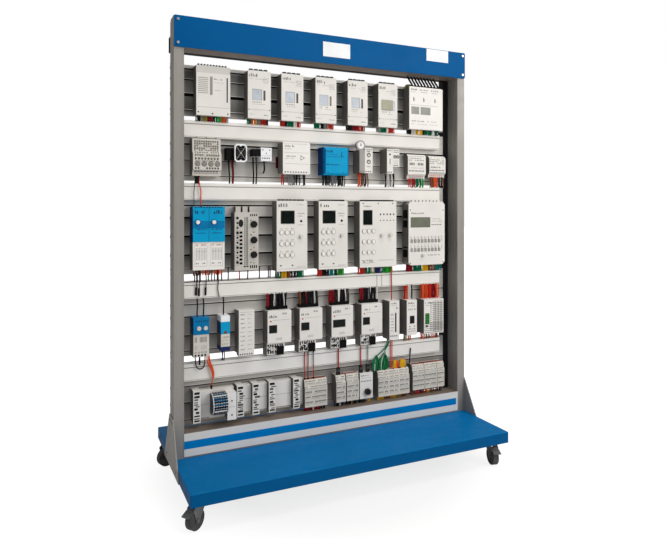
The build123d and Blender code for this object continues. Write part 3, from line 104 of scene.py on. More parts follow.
class Nodes:
    """A small helper that adds and links shader nodes."""

    def __init__(self, name):
        self.mat = bpy.data.materials.new(name)
        self.mat.use_nodes = True
        self.tree = self.mat.node_tree
        self.bsdf = self.tree.nodes["Principled BSDF"]
        self.coord = self.add("ShaderNodeTexCoord")

    def add(self, kind, **settings):
        node = self.tree.nodes.new(kind)
        for key, value in settings.items():
            if key in node.inputs:
                node.inputs[key].default_value = value
            else:
                setattr(node, key, value)
        return node

    def link(self, a, b):
        self.tree.links.new(a, b)

    def noise(self, scale, detail=3.0, stretch=None):
        node = self.add("ShaderNodeTexNoise")
        node.inputs["Scale"].default_value = scale
        node.inputs["Detail"].default_value = detail
        source = self.coord.outputs["Object"]
        if stretch:
            mapping = self.add("ShaderNodeMapping")
            mapping.inputs["Scale"].default_value = stretch
            self.link(source, mapping.inputs["Vector"])
            source = mapping.outputs["Vector"]
        self.link(source, node.inputs["Vector"])
        return node.outputs["Fac"]

    def ramp(self, source, low, high, a, b):
        node = self.add("ShaderNodeMapRange")
        node.inputs["From Min"].default_value = low
        node.inputs["From Max"].default_value = high
        node.inputs["To Min"].default_value = a
        node.inputs["To Max"].default_value = b
        self.link(source, node.inputs["Value"])
        return node.outputs["Result"]

    def mix(self, fac, a, b):
        node = self.add("ShaderNodeMix", data_type="RGBA")
        self.link(fac, node.inputs["Factor"])
        for socket, value in (("A", a), ("B", b)):
            target = [s for s in node.inputs if s.name == socket and s.type == "RGBA"][0]
            if hasattr(value, "links"):
                self.link(value, target)
            else:
                target.default_value = value
        return [s for s in node.outputs if s.type == "RGBA"][0]

    def bump(self, height, strength, distance=0.0005):
        node = self.add("ShaderNodeBump")
        node.inputs["Strength"].default_value = strength
        node.inputs["Distance"].default_value = distance
        self.link(height, node.inputs["Height"])
        self.link(node.outputs["Normal"], self.bsdf.inputs["Normal"])


def shade(colour, factor):
    return tuple(min(1.0, c * factor) for c in colour[:3]) + (1.0,)


def plastic(name, colour, rough=0.45, mottle=0.05, side=None):
    """Moulded plastic: a faint mottle and a fine grain. side is painted shade: a darker colour given to its
    left and right faces.
    """
    n = Nodes(name)
    blotch = n.ramp(n.noise(14.0, 4.0), 0.3, 0.7, 0.0, 1.0)
    base = n.mix(blotch, shade(colour, 1 - mottle), shade(colour, 1 + mottle * 0.6))
    # Painted shade: the left and right faces take the darker side colour
    if side:
        normal = n.add("ShaderNodeSeparateXYZ")
        n.link(n.coord.outputs["Normal"], normal.inputs["Vector"])
        away = n.add("ShaderNodeMath", operation="ABSOLUTE")
        n.link(normal.outputs["X"], away.inputs[0])
        base = n.mix(n.ramp(away.outputs[0], 0.45, 0.8, 0.0, 1.0), base, side)
    n.link(base, n.bsdf.inputs["Base Color"])
    n.link(n.ramp(n.noise(60.0), 0.3, 0.7, rough - 0.06, rough + 0.08), n.bsdf.inputs["Roughness"])
    n.bsdf.inputs["Specular IOR Level"].default_value = 0.08
    n.bump(n.noise(900.0, 2.0), 0.12, 0.0002)
    return n.mat


def paint(name, colour, rough=0.35, mottle=0.05, painted_upright_shade=None):
    """Powder coat: a soft orange-peel skin. upright is painted shade: a darker colour for its standing faces.
    """
    n = Nodes(name)
    blotch = n.ramp(n.noise(5.0, 5.0), 0.3, 0.7, 0.0, 1.0)
    base = n.mix(blotch, shade(colour, 1 - mottle), shade(colour, 1 + mottle))
    # Painted shade: the standing faces take the darker colour
    if painted_upright_shade:
        split = n.add("ShaderNodeSeparateXYZ")
        n.link(n.coord.outputs["Normal"], split.inputs["Vector"])
        base = n.mix(n.ramp(split.outputs["Z"], 0.3, 0.8, 0.0, 1.0), painted_upright_shade, base)
    n.link(base, n.bsdf.inputs["Base Color"])
    n.link(n.ramp(n.noise(25.0), 0.3, 0.7, rough - 0.05, rough + 0.08), n.bsdf.inputs["Roughness"])
    n.bsdf.inputs["Specular IOR Level"].default_value = 0.04
    n.bump(n.noise(450.0, 2.0), 0.10, 0.0004)
    return n.mat


def metal(name, colour, rough=0.35, metallic=0.9, stretch=(1, 1, 30), mottle=0.06):
    """Drawn or rolled metal with a grain along its length."""
    n = Nodes(name)
    grain = n.noise(60.0, 3.0, stretch)
    part = n.ramp(grain, 0.3, 0.7, 0.0, 1.0)
    base = n.mix(part, shade(colour, 1 - mottle), shade(colour, 1 + mottle))
    n.link(base, n.bsdf.inputs["Base Color"])
    n.bsdf.inputs["Metallic"].default_value = metallic
    n.link(n.ramp(n.noise(20.0), 0.3, 0.7, rough - 0.06, rough + 0.10), n.bsdf.inputs["Roughness"])
    n.bump(grain, 0.05, 0.0002)
    return n.mat


# Height in metres and brightness of the wall's painted shade: it darkens upwards towards each pressed slot,
# with a painted highlight just above each slot
SLAT_SPAN = 2.0
SLAT_PAINTED_SHADE = (
    (0.247, 0.74), (0.2705, 0.74), (0.338, 0.52), (0.342, 0.78), (0.404, 0.56), (0.411, 0.86), (0.505, 0.60),
    (0.549, 0.72), (0.555, 0.84), (0.610, 0.58), (0.620, 0.82), (0.689, 0.60), (0.696, 0.92), (0.735, 0.80),
    (0.867, 0.84), (0.941, 0.42), (0.950, 0.80), (1.018, 0.40), (1.027, 0.80), (1.095, 0.40), (1.104, 0.86),
    (1.240, 0.92), (1.331, 0.66), (1.339, 0.84), (1.396, 0.62), (1.406, 0.92), (1.500, 0.92), (1.538, 0.36),
    (1.594, 0.52), (1.610, 0.62), (1.700, 0.34), (1.726, 0.94),
)


def slatted_painted_shade(name):
    """Folded sheet with painted shade by height: a painted highlight just above each pressed slot, darkening
    upwards towards the next one.
    """
    n = Nodes(name)
    split = n.add("ShaderNodeSeparateXYZ")
    n.link(n.coord.outputs["Object"], split.inputs["Vector"])
    ramp = n.add("ShaderNodeValToRGB")
    while len(ramp.color_ramp.elements) < len(SLAT_PAINTED_SHADE):
        ramp.color_ramp.elements.new(0.5)
    for element, (z, value) in zip(ramp.color_ramp.elements, SLAT_PAINTED_SHADE):
        element.position = z / SLAT_SPAN
        element.color = rgb(228 * value, 225 * value, 219 * value)
    n.link(n.ramp(split.outputs["Z"], 0.0, SLAT_SPAN, 0.0, 1.0), ramp.inputs["Fac"])
    grain = n.noise(60.0, 3.0, (0.02, 1, 1))
    base = n.add("ShaderNodeMix", data_type="RGBA", blend_type="MULTIPLY")
    sockets = [s for s in base.inputs if s.type == "RGBA"]
    base.inputs["Factor"].default_value = 1.0
    n.link(ramp.outputs["Color"], sockets[0])
    n.link(n.mix(n.ramp(grain, 0.3, 0.7, 0.0, 1.0), (0.92, 0.92, 0.92, 1), (1, 1, 1, 1)), sockets[1])
    n.link([s for s in base.outputs if s.type == "RGBA"][0], n.bsdf.inputs["Base Color"])
    n.bsdf.inputs["Metallic"].default_value = 0.05
    n.link(n.ramp(n.noise(20.0), 0.3, 0.7, 0.38, 0.52), n.bsdf.inputs["Roughness"])
    n.bump(grain, 0.05, 0.0002)
    return n.mat


def glassy(name, colour, rough=0.12):
    """A display pane: smooth, with faint smears in its gloss."""
    n = Nodes(name)
    base = n.mix(n.ramp(n.noise(30.0), 0.3, 0.7, 0.0, 1.0), shade(colour, 0.9), shade(colour, 1.1))
    n.link(base, n.bsdf.inputs["Base Color"])
    n.link(n.ramp(n.noise(40.0), 0.3, 0.7, rough, rough + 0.15), n.bsdf.inputs["Roughness"])
    n.bsdf.inputs["Specular IOR Level"].default_value = 0.2
    return n.mat


def rubber(name, colour):
    n = Nodes(name)
    blotch = n.ramp(n.noise(40.0, 5.0), 0.35, 0.7, 0.0, 1.0)
    base = n.mix(blotch, shade(colour, 0.75), shade(colour, 1.35))
    n.link(base, n.bsdf.inputs["Base Color"])
    n.link(n.ramp(n.noise(80.0), 0.3, 0.7, 0.6, 0.85), n.bsdf.inputs["Roughness"])
    n.bump(n.noise(500.0), 0.3, 0.0004)
    return n.mat


# Painted shade for the left and right faces of the module cases
PAINTED_SIDE_SHADE = rgb(112, 109, 104)
M = {
    "post": metal("post_metal", rgb(146, 142, 137), 0.40, 0.15, (1, 1, 0.02)),
    "beam": metal("beam_metal", rgb(134, 121, 111), 0.45, 0.15, (0.02, 1, 1)),
    # Painted shade: the base's standing faces are darker than its top
    "blue": paint("blue_coat", rgb(0, 110, 172), 0.36, painted_upright_shade=rgb(0, 84, 138)),
    "header": paint("header_coat", rgb(0, 84, 142), 0.42),
    # The wall's colour carries painted shade and painted highlights by height
    "panel": slatted_painted_shade("panel_painted_shade"),
    "slot": plastic("slot_dark", rgb(16, 15, 19), 0.7),
    "duct": plastic("duct_plastic", rgb(232, 229, 224), 0.42, 0.03),
    "duct_line": plastic("duct_line", rgb(128, 125, 120), 0.6),
    "raceway": plastic("raceway_plastic", rgb(30, 29, 31), 0.5),
    "sill": paint("sill_white", rgb(222, 220, 216), 0.4),
    "stripe": paint("stripe_blue", rgb(0, 122, 190), 0.4),
    "label": plastic("label_white", rgb(236, 238, 240), 0.4),
    "steel": metal("bolt_steel", rgb(176, 176, 178), 0.3, 0.9, (1, 1, 1)),
    "zinc": metal("caster_zinc", rgb(128, 128, 130), 0.35, 0.8, (1, 1, 1)),
    "rubber": rubber("tyre_rubber", rgb(66, 66, 68)),
    "wheel_core": plastic("wheel_core", rgb(118, 119, 121), 0.5),
    "pedal": plastic("pedal_grey", rgb(98, 100, 102), 0.5),
    "case": plastic("case_grey", rgb(226, 223, 218), 0.42, 0.04, PAINTED_SIDE_SHADE),
    "case_warm": plastic("case_warm", rgb(208, 203, 194), 0.45, 0.05, PAINTED_SIDE_SHADE),
    "case_white": plastic("case_white", rgb(235, 232, 228), 0.4, 0.03, PAINTED_SIDE_SHADE),
    "case_dim": plastic("case_dim", rgb(196, 192, 185), 0.5, 0.06, PAINTED_SIDE_SHADE),
    "case_grey": plastic("case_mid", rgb(158, 155, 150), 0.5, 0.06, PAINTED_SIDE_SHADE),
    "band": plastic("case_band", rgb(208, 205, 200), 0.45, 0.04),
    "dark": plastic("module_dark", rgb(14, 13, 15), 0.5),
    "barrel": plastic("plug_barrel", rgb(16, 42, 62), 0.35),
    # Painted highlight for the barrel's lit side
    "barrel_light": plastic("plug_barrel_light", rgb(40, 96, 132), 0.35),
    "mark": plastic("mark_black", rgb(38, 36, 38), 0.6),
    "mark_mid": plastic("mark_mid", rgb(98, 94, 92), 0.6),
    "mark_soft": plastic("mark_soft", rgb(170, 166, 162), 0.6),
    "mid": plastic("mid_grey", rgb(150, 147, 142), 0.55),
    # The last colour of module_blue and module_blue_deep is painted shade on their left and right faces
    "cyan": plastic("module_blue", rgb(8, 152, 200), 0.4, 0.06, rgb(0, 56, 120)),
    "cyan_deep": plastic("module_blue_deep", rgb(6, 116, 170), 0.45, 0.12, rgb(0, 52, 104)),
    "lcd": glassy("lcd_grey", rgb(184, 192, 200)),
    "lcd_mid": glassy("lcd_mid", rgb(136, 138, 128)),
    "lcd_olive": glassy("lcd_olive", rgb(150, 148, 126)),
    "lcd_dim": glassy("lcd_dim", rgb(112, 116, 100)),
    "screen": glassy("screen_dark", rgb(3, 14, 10), 0.12),
    "screen_green": glassy("screen_green", rgb(30, 56, 40), 0.2),
    "knob": plastic("knob_black", rgb(34, 33, 34), 0.35),
    "knob_light": plastic("knob_light", rgb(212, 209, 204), 0.35),
}
WIRE_COLOURS = {
    "red": ("red", 182, 44, 32),
    "crimson": ("crimson", 136, 24, 36),
    "orange": ("orange", 214, 84, 44),
    "green": ("green", 8, 106, 70),
    "dgreen": ("dark_green", 16, 84, 60),
    "bright": ("bright_green", 40, 150, 52),
    "yellow": ("yellow", 222, 172, 34),
    "olive": ("olive", 140, 134, 66),
    "black": ("black", 28, 27, 29),
    "grey": ("grey", 130, 130, 130),
    "pale": ("pale", 220, 218, 214),
    "brown": ("brown", 118, 70, 46),
    "teal": ("teal", 20, 120, 112),
    "navy": ("navy", 28, 44, 92),
}
for wire, (shade_name, *levels) in WIRE_COLOURS.items():
    M[wire] = plastic("wire_" + shade_name, rgb(*levels), 0.42)


# Pieces


class Piece:
    """One named mesh made of small solids, all of one material. Sizes are in millimetres."""

    def __init__(self, name, mat, body="rack", bevel=0.0):
        self.name = name
        self.key = mat
        self.body = body
        self.bevel = bevel
        self.bm = bmesh.new()

    def face_ring(self, rings, caps=True):
        """Faces between rings of points that follow each other, closed at both ends."""
        rows = [[self.bm.verts.new(Vector(p) * MM) for p in ring] for ring in rings]
        for a, b in zip(rows, rows[1:]):
            for i in range(len(a)):
                j = (i + 1) % len(a)
                self.bm.faces.new((a[i], a[j], b[j], b[i]))
        if caps:
            self.bm.faces.new(rows[0][::-1])
            self.bm.faces.new(rows[-1])
        return self

    def box(self, x0, x1, y0, y1, z0, z1):
        low = [(x0, y0, z0), (x1, y0, z0), (x1, y1, z0), (x0, y1, z0)]
        high = [(x, y, z1) for x, y, _ in low]
        return self.face_ring([low, high])

    def front(self, x, w, z, h, y, thick):
        """A flat plate on the face at y, standing thick in front of it."""
        return self.box(x, x + w, y - thick, y + 0.2, z, z + h)

    def rounded(self, x, w, z, h, y, thick, r, steps=4):
        """A plate with round corners and a softened front edge."""
        def ring(inset, depth):
            pts = []
            rr = max(r - inset, 0.2)
            left, right, low, high = x + r, x + w - r, z + r, z + h - r
            for cx, cz, a0 in ((right, high, 0), (left, high, 90), (left, low, 180), (right, low, 270)):
                for k in range(steps + 1):
                    a = math.radians(a0 + 90 * k / steps)
                    pts.append((cx + rr * math.cos(a), depth, cz + rr * math.sin(a)))
            return pts
        soft = min(thick * 0.4, 0.8)
        return self.face_ring([ring(0, y + 0.2), ring(0, y - thick + soft), ring(soft, y - thick)])

    def disc(self, x, z, y, r, thick, n=20, squash=1.0, soft=0.3):
        """A round plate or button on the face at y."""
        def ring(radius, depth):
            return [(x + radius * squash * math.cos(2 * math.pi * k / n), depth,
                     z + radius * math.sin(2 * math.pi * k / n)) for k in range(n)]
        return self.face_ring([ring(r, y + 0.2), ring(r, y - thick + soft), ring(r - soft, y - thick)])

    def hoop(self, x, z, y, r, inner, thick, n=24, squash=1.0):
        """A flat ring on the face at y."""
        rings = []
        for radius, depth in ((inner, y), (r, y), (r, y - thick), (inner, y - thick), (inner, y)):
            rings.append([(x + radius * squash * math.cos(2 * math.pi * k / n), depth,
                           z + radius * math.sin(2 * math.pi * k / n)) for k in range(n)])
        return self.face_ring(rings, caps=False)

    def tube(self, points, radius, n=6):
        """A round bar through points."""
        pts = [Vector(p) for p in points]
        rings = []
        for i, p in enumerate(pts):
            ahead = (pts[min(i + 1, len(pts) - 1)] - pts[max(i - 1, 0)]).normalized()
            side = ahead.cross(Vector((0, 1, 0)))
            if side.length < 0.1:
                side = ahead.cross(Vector((1, 0, 0)))
            side.normalize()
            other = ahead.cross(side)
            turns = [2 * math.pi * k / n for k in range(n)]
            rings.append([p + (side * math.cos(a) + other * math.sin(a)) * radius for a in turns])
        return self.face_ring(rings)

    def done(self, smooth=False):
        bmesh.ops.recalc_face_normals(self.bm, faces=self.bm.faces)
        data = bpy.data.meshes.new(self.name)
        self.bm.to_mesh(data)
        self.bm.free()
        data.materials.append(M[self.key])
        piece = bpy.data.objects.new(self.name, data)
        bpy.context.scene.collection.objects.link(piece)
        if self.bevel:
            soft = piece.modifiers.new("soft_edges", "BEVEL")
            soft.width = self.bevel * MM
            soft.segments = 2
            soft.limit_method = "ANGLE"
        if smooth:
            for poly in data.polygons:
                poly.use_smooth = True
        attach(piece, self.body)
        return piece


def bars(piece, x, w, z, h, y, count, thick, share):
    """Evenly spaced level bars, as louvres or scales."""
    pitch = h / count
    for i in range(count):
        piece.front(x, w, z + i * pitch, pitch * share, y, thick)


def assign(node, key):
    """A CAD node's own finish."""
    mesh = frame["nodes"][node]
    mesh.data.materials.clear()
    mesh.data.materials.append(M[key])
    return mesh


def lathe(piece, centre, axis, profile, n=40, flutes=0, depth=0.0):
    """A turned form about an axis; profile lists (distance along the axis, radius)."""
    axis = Vector(axis).normalized()
    side = axis.cross(Vector((0, 0, 1))).normalized()
    up = side.cross(axis)
    rings = []
    for along, radius in profile:
        ring = []
        for k in range(n):
            a = 2 * math.pi * k / n
            cut = depth * (0.5 + 0.5 * math.cos(flutes * a)) if flutes else 0
            out = (side * math.cos(a) + up * math.sin(a)) * (radius - cut)
            ring.append(Vector(centre) + axis * along + out)
        rings.append(ring)
    return piece.face_ring(rings)


JOINT = {joint["name"]: joint for joint in frame["record"]["behaviour"]["joints"]}


def joint_place(name):
    joint = JOINT[name]
    return Vector(joint["pos_m"]) / MM, Vector(joint["axis"])


# Floor, light and background


FLOOR_NEAR, FLOOR_FAR = 0.5, 1.3
GLOW_SHARE = 0.78


def emission(n, distance, near, far):
    """A white glow whose strength changes with the distance from the object."""
    glow = n.add("ShaderNodeEmission")
    n.link(n.ramp(distance, FLOOR_NEAR, FLOOR_FAR, near, far), glow.inputs["Strength"])
    glow.inputs["Color"].default_value = (1, 1, 1, 1)
    return glow.outputs[0]


def stage():
    """A pale floor that the camera sees as nearly white and that keeps the object's shadow."""
    bpy.ops.mesh.primitive_plane_add(size=60, location=(0, 0, -0.0005))
    floor = bpy.context.object
    floor.name = "floor"
    n = Nodes("floor_pale")
    n.bsdf.inputs["Base Color"].default_value = (0.9, 0.9, 0.9, 1)
    n.bsdf.inputs["Roughness"].default_value = 0.7
    out = n.tree.nodes["Material Output"]
    away = n.add("ShaderNodeVectorMath", operation="LENGTH")
    n.link(n.coord.outputs["Object"], away.inputs[0])
    both = n.add("ShaderNodeMixShader")
    both.inputs[0].default_value = GLOW_SHARE
    n.link(n.bsdf.outputs[0], both.inputs[1])
    n.link(emission(n, away.outputs["Value"], 0.88, 1.05), both.inputs[2])
    add = n.add("ShaderNodeAddShader")
    n.link(both.outputs[0], add.inputs[0])
    n.link(emission(n, away.outputs["Value"], 0.10, 0.30), add.inputs[1])
    path = n.add("ShaderNodeLightPath")
    pick = n.add("ShaderNodeMixShader")
    n.link(path.outputs["Is Camera Ray"], pick.inputs[0])
    n.link(n.bsdf.outputs[0], pick.inputs[1])
    n.link(add.outputs[0], pick.inputs[2])
    n.link(pick.outputs[0], out.inputs["Surface"])
    floor.data.materials.append(n.mat)


def world():
    """Soft light all round, and plain white for the camera and for what is seen through a pane."""
    w = bpy.data.worlds.new("world")
    bpy.context.scene.world = w
    w.use_nodes = True
    tree = w.node_tree
    tree.nodes.clear()
    out = tree.nodes.new("ShaderNodeOutputWorld")
    path = tree.nodes.new("ShaderNodeLightPath")
    seen = tree.nodes.new("ShaderNodeMath")
    seen.operation = "MAXIMUM"
    tree.links.new(path.outputs["Is Camera Ray"], seen.inputs[0])
    tree.links.new(path.outputs["Is Transmission Ray"], seen.inputs[1])
    soft = tree.nodes.new("ShaderNodeBackground")
    soft.inputs["Color"].default_value = (1.0, 0.985, 0.96, 1)
    soft.inputs["Strength"].default_value = 0.32
    bright = tree.nodes.new("ShaderNodeBackground")
    bright.inputs["Strength"].default_value = 1.0
    bright.inputs["Color"].default_value = (1, 1, 1, 1)
    mix = tree.nodes.new("ShaderNodeMixShader")
    tree.links.new(seen.outputs[0], mix.inputs[0])
    tree.links.new(soft.outputs[0], mix.inputs[1])
    tree.links.new(bright.outputs[0], mix.inputs[2])
    tree.links.new(mix.outputs[0], out.inputs[0])


def lamp(name, place, target, size, power, colour=(1, 1, 1)):
    data = bpy.data.lights.new(name, "AREA")
    data.shape = "RECTANGLE"
    data.size, data.size_y = size
    data.energy = power
    data.color = colour
    item = bpy.data.objects.new(name, data)
    bpy.context.scene.collection.objects.link(item)
    item.location = place
    item.rotation_euler = (Vector(target) - Vector(place)).to_track_quat("-Z", "Y").to_euler()


stage()
world()
WARM = (1, 0.985, 0.965)
lamp("key", (2.2, -3.4, 2.7), (0, 0, 1.0), (2.2, 1.8), 84, WARM)
lamp("top", (0.4, -1.4, 4.2), (0, 0, 0.4), (2.6, 1.6), 52, WARM)
lamp("fill", (-2.6, -3.2, 1.2), (0, 0, 0.9), (2.0, 2.4), 10, WARM)
lamp("back", (0.5, 3.4, 2.6), (0, 0, 1.0), (2.4, 2.0), 16)


# Frame


CASTERS = ("front_left", "front_right", "rear_left", "rear_right")
FINISHES = {
    "post": ("left_post", "right_post", "gussets"),
    "beam": ("top_beam", "bottom_beam", "base_rails"),
    "header": ("header_panel",),
    "sill": ("sill_panel",),
    "blue": ("base_platform",),
    "steel": ("frame_bolts",),
    "panel": ("slat_panels",),
    "duct": ("wire_ducts", "duct_covers"),
    "raceway": ("cable_raceway",),
    "zinc": ("caster_plates", *(name + "_fork" for name in CASTERS)),
    "rubber": tuple(name + "_wheel" for name in CASTERS),
    "pedal": ("front_left_pedal", "front_right_pedal"),
    "knob_light": ("left_keypad_knob", "right_keypad_knob", "left_selector_knob", "right_selector_knob",
                   "wide_controller_knob"),
    "case_white": ("row1_analyser", "row2_white_supply", "row3_surge_block", "row5_plug"),
    "case_warm": ("row2_relays", "row4_surge_modules", "row5_terminal_blocks"),
    "case_dim": ("row3_amplifier",),
    "dark": ("row2_fan",),
    "label": ("row2_socket",),
    "cyan": ("row2_blue_supply",),
    "lcd": ("display_windows",),
    "black": ("wire_looms",),
    "orange": ("hanging_leads",),
    "red": ("plug_leads",),
}
for node in frame["nodes"]:
    assign(node, "knob" if node.endswith("_knob") else "case")
for finish, nodes in FINISHES.items():
    for node in nodes:
        assign(node, finish)
stripe = Piece("sill_stripe", "stripe")
stripe.front(-660, 1310, 183, 31, -42, 0.4)
stripe.done()


# Free leads

LEADS = (
    ("relay_lead_right", "orange", 2.4, 0.1263, (
        (-0.592, 0.0026, 1.269), (-0.592, 0.0026, 1.239), (-0.584, -0.0034, 1.207), (-0.585, 0.0026, 1.174),
        (-0.585, 0.0026, 1.144))),
    ("relay_lead_left", "black", 1.6, 0.1260, (
        (-0.608, 0.0026, 1.269), (-0.608, 0.0026, 1.238), (-0.614, -0.0034, 1.207), (-0.612, 0.0026, 1.175),
        (-0.612, 0.0026, 1.144))),
    ("surge_loop_lead", "black", 2.4, 0.1289, (
        (-0.607, 0.0026, 0.538), (-0.607, 0.0026, 0.508), (-0.599, -0.0014, 0.484), (-0.575, -0.0014, 0.484),
        (-0.567, 0.0026, 0.508), (-0.567, 0.0026, 0.538))),
    ("surge_plate_lead", "orange", 2.4, 0.1542, (
        (-0.560, 0.0026, 0.538), (-0.560, 0.0026, 0.510), (-0.546, -0.0044, 0.484), (-0.536, -0.0044, 0.454),
        (-0.537, 0.0006, 0.432), (-0.538, 0.015, 0.411), (-0.538, 0.015, 0.393))),
    ("slim_lead_left", "green", 2.4, 0.1818, (
        (0.291, 0.0026, 0.526), (0.291, 0.0026, 0.502), (0.272, -0.0034, 0.480), (0.242, -0.0044, 0.463),
        (0.220, -0.0044, 0.438), (0.222, -0.0014, 0.414), (0.240, 0.0026, 0.400), (0.240, 0.0026, 0.382))),
    ("slim_lead_right", "green", 2.4, 0.1607, (
        (0.299, 0.0026, 0.526), (0.299, 0.0026, 0.500), (0.268, -0.0064, 0.474), (0.278, -0.0084, 0.446),
        (0.287, -0.0064, 0.420), (0.276, 0.0026, 0.402), (0.276, 0.0026, 0.382))),
    ("block_arch_left", "yellow", 1.6, 0.0946, (
        (0.323, 0.0026, 0.382), (0.323, 0.0026, 0.402), (0.329, -0.0004, 0.422), (0.346, -0.0004, 0.422),
        (0.352, 0.0026, 0.402), (0.352, 0.0026, 0.382))),
    ("block_arch_right", "orange", 1.6, 0.1022, (
        (0.359, 0.0026, 0.382), (0.359, 0.0026, 0.404), (0.365, -0.0004, 0.426), (0.382, -0.0004, 0.426),
        (0.388, 0.0026, 0.404), (0.388, 0.0026, 0.382))),
)


def lead(name, key, radius, length, points):
    """A free lead that goes back into the rack at its far end."""
    data = bpy.data.curves.new(name, "CURVE")
    data.dimensions = "3D"
    data.bevel_depth = radius * MM
    data.bevel_resolution = 3
    data.resolution_u = 10
    data.use_fill_caps = True
    spline = data.splines.new("NURBS")
    spline.points.add(len(points) - 1)
    for point, place in zip(spline.points, points):
        point.co = (*place, 1.0)
    spline.order_u = 3
    spline.use_endpoint_u = True
    data.materials.append(M[key])
    piece = bpy.data.objects.new(name, data)
    bpy.context.scene.collection.objects.link(piece)
    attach(piece, "rack")
    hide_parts("hanging_leads")


for entry in LEADS:
    lead(*entry)


# Surfaces and wires

bpy.context.view_layer.update()
SEEN = bpy.context.evaluated_depsgraph_get()


def surface(x, z):
    """How far forward the CAD model stands at a point of its front, in millimetres."""
    hit, place, *_ = bpy.context.scene.ray_cast(SEEN, (x * MM, -0.3, z * MM), (0, 1, 0))
    return place.y / MM if hit else WALL


STRANDS = {}


def strand(key, points, radius=2.2):
    """A wire fixed at both ends, along given points."""
    if key not in STRANDS:
        data = bpy.data.curves.new("wires_" + key, "CURVE")
        data.dimensions = "3D"
        data.bevel_depth = MM
        data.bevel_resolution = 1
        data.resolution_u = 5
        data.use_fill_caps = True
        data.materials.append(M[key])
        STRANDS[key] = bpy.data.objects.new("wires_" + key, data)
    spline = STRANDS[key].data.splines.new("NURBS")
    spline.points.add(len(points) - 1)
    for point, place in zip(spline.points, points):
        point.co = (*(Vector(place) * MM), 1.0)
        point.radius = radius
    spline.order_u = min(3, len(points))
    spline.use_endpoint_u = True


def loom(x0, x1, high, low, y, bands, pitch=5.2, radius=2.1, seed=3, sway=2.5):
    """A row of wires between a module's edge and a duct. bands lists colours and shares of the width."""
    rng = random.Random(seed)
    pairs = [item.split() for item in bands.split(", ")]
    total = sum(int(share) for _, share in pairs)
    edges = []
    at = 0.0
    for key, share in pairs:
        at += int(share) / total
        edges.append((at, key))
    count = max(1, int((x1 - x0) / pitch))
    for i in range(count):
        part = (i + 0.5) / count
        key = next(k for edge, k in edges if part <= edge + 1e-9)
        if key == "gap":
            continue
        x = x0 + (x1 - x0) * part + rng.uniform(-0.6, 0.6)
        depth = y + rng.uniform(-3.5, 3.5)
        bow = rng.uniform(-sway, sway)
        lean = rng.uniform(-sway, sway) * 0.5
        strand(key, [(x, depth, high), (x + bow * 0.5, depth - 2.0, high * 0.6 + low * 0.4),
                     (x + bow, depth - 1.5, high * 0.3 + low * 0.7), (x + lean, depth, low)],
               radius * rng.uniform(0.85, 1.1))


INK = {}


def ink(group, key, body="rack"):
    """The piece that gathers one group's details of one material."""
    name = group + "_" + key
    if name not in INK:
        INK[name] = Piece(name, key, body)
    return INK[name]


class Face:
    """A module's front. Offsets are from its upper left corner, to the right and down. Each detail lies on
    whatever the CAD model has there."""

    def __init__(self, group, left, top, y=None):
        self.group = group
        self.left = left
        self.top = top
        self.y = y

    def at(self, dx, dz):
        return self.y if self.y is not None else surface(self.left + dx, self.top - dz)

    def plate(self, key, dx, dz, w, h, thick=0.3):
        y = self.at(dx + w / 2, dz + h / 2)
        ink(self.group, key).front(self.left + dx, w, self.top - dz - h, h, y, thick)

    def pad(self, key, dx, dz, w, h, thick=1.0, r=2.0):
        y = self.at(dx + w / 2, dz + h / 2)
        ink(self.group, key).rounded(self.left + dx, w, self.top - dz - h, h, y, thick, r)

    def dot(self, key, dx, dz, r, thick=0.6, n=14, squash=1.0):
        ink(self.group, key).disc(self.left + dx, self.top - dz, self.at(dx, dz), r, thick, n, squash, 0.2)

    def ring(self, key, dx, dz, r, inner, thick=0.8, squash=1.0):
        ink(self.group, key).hoop(self.left + dx, self.top - dz, self.at(dx, dz), r, inner, thick, 20, squash)

    def words(self, key, dx, dz, w, h, seed=1, fill=0.85):
        """Upright bars of uneven width, a plain stand-in for a line of print."""
        rng = random.Random(seed)
        y = self.at(dx + w / 2, dz + h / 2)
        at = 0.0
        while at < w - h * 0.2:
            bar = min(rng.uniform(0.16, 0.42) * h, w - at)
            if rng.random() < fill:
                cut = rng.choice((0.0, 0.0, 0.25, 0.4)) * h
                ink(self.group, key).front(self.left + dx + at, bar, self.top - dz - h, h - cut, y,
                                           LINE_HEIGHT)
            at += bar + rng.uniform(0.18, 0.34) * h

    def row(self, key, dx, dz, w, h, count, share=0.55, thick=0.3, skip=0.0, seed=2):
        """Evenly spaced marks."""
        rng = random.Random(seed)
        pitch = w / count
        y = self.at(dx + w / 2, dz + h / 2)
        for i in range(count):
            if rng.random() >= skip:
                ink(self.group, key).front(self.left + dx + i * pitch, pitch * share, self.top - dz - h, h, y,
                                           thick)

    def screws(self, *places, r=1.8, key="mark"):
        for dx, dz in places:
            self.dot(key, dx, dz, r, 0.6, 10)

    def frame(self, key, dx, dz, w, h, line=1.0, thick=0.4):
        """A thin raised rim round a field."""
        y = self.at(dx - 2, dz + h / 2)
        piece = ink(self.group, key)
        x, z = self.left + dx, self.top - dz - h
        piece.front(x - line, w + 2 * line, z + h, line, y, thick)
        piece.front(x - line, w + 2 * line, z - line, line, y, thick)
        piece.front(x - line, line, z, h, y, thick)
        piece.front(x + w, line, z, h, y, thick)


def cover(group, key, x0, x1, front, z0, z1, back=HOUSING_BACK, skin=0.25):
    """A thin shell of another colour round part of a housing."""
    ink(group, key).box(x0 - skin, x1 + skin, front - skin, back, z0, z1 + skin)


def mouths(group, left, width, top, front, count, key="dark"):
    """Dark caps over the terminals along a housing's top."""
    pitch = (width - 2 * TOOTH_MARGIN) / count
    for i in range(count):
        x = left + TOOTH_MARGIN + i * pitch
        ink(group, key).box(x - 0.4, x + pitch - TOOTH_TRIM, front + 1.6, front + 14.4,
                            top - 0.1, top + 6.4)


# Row 1


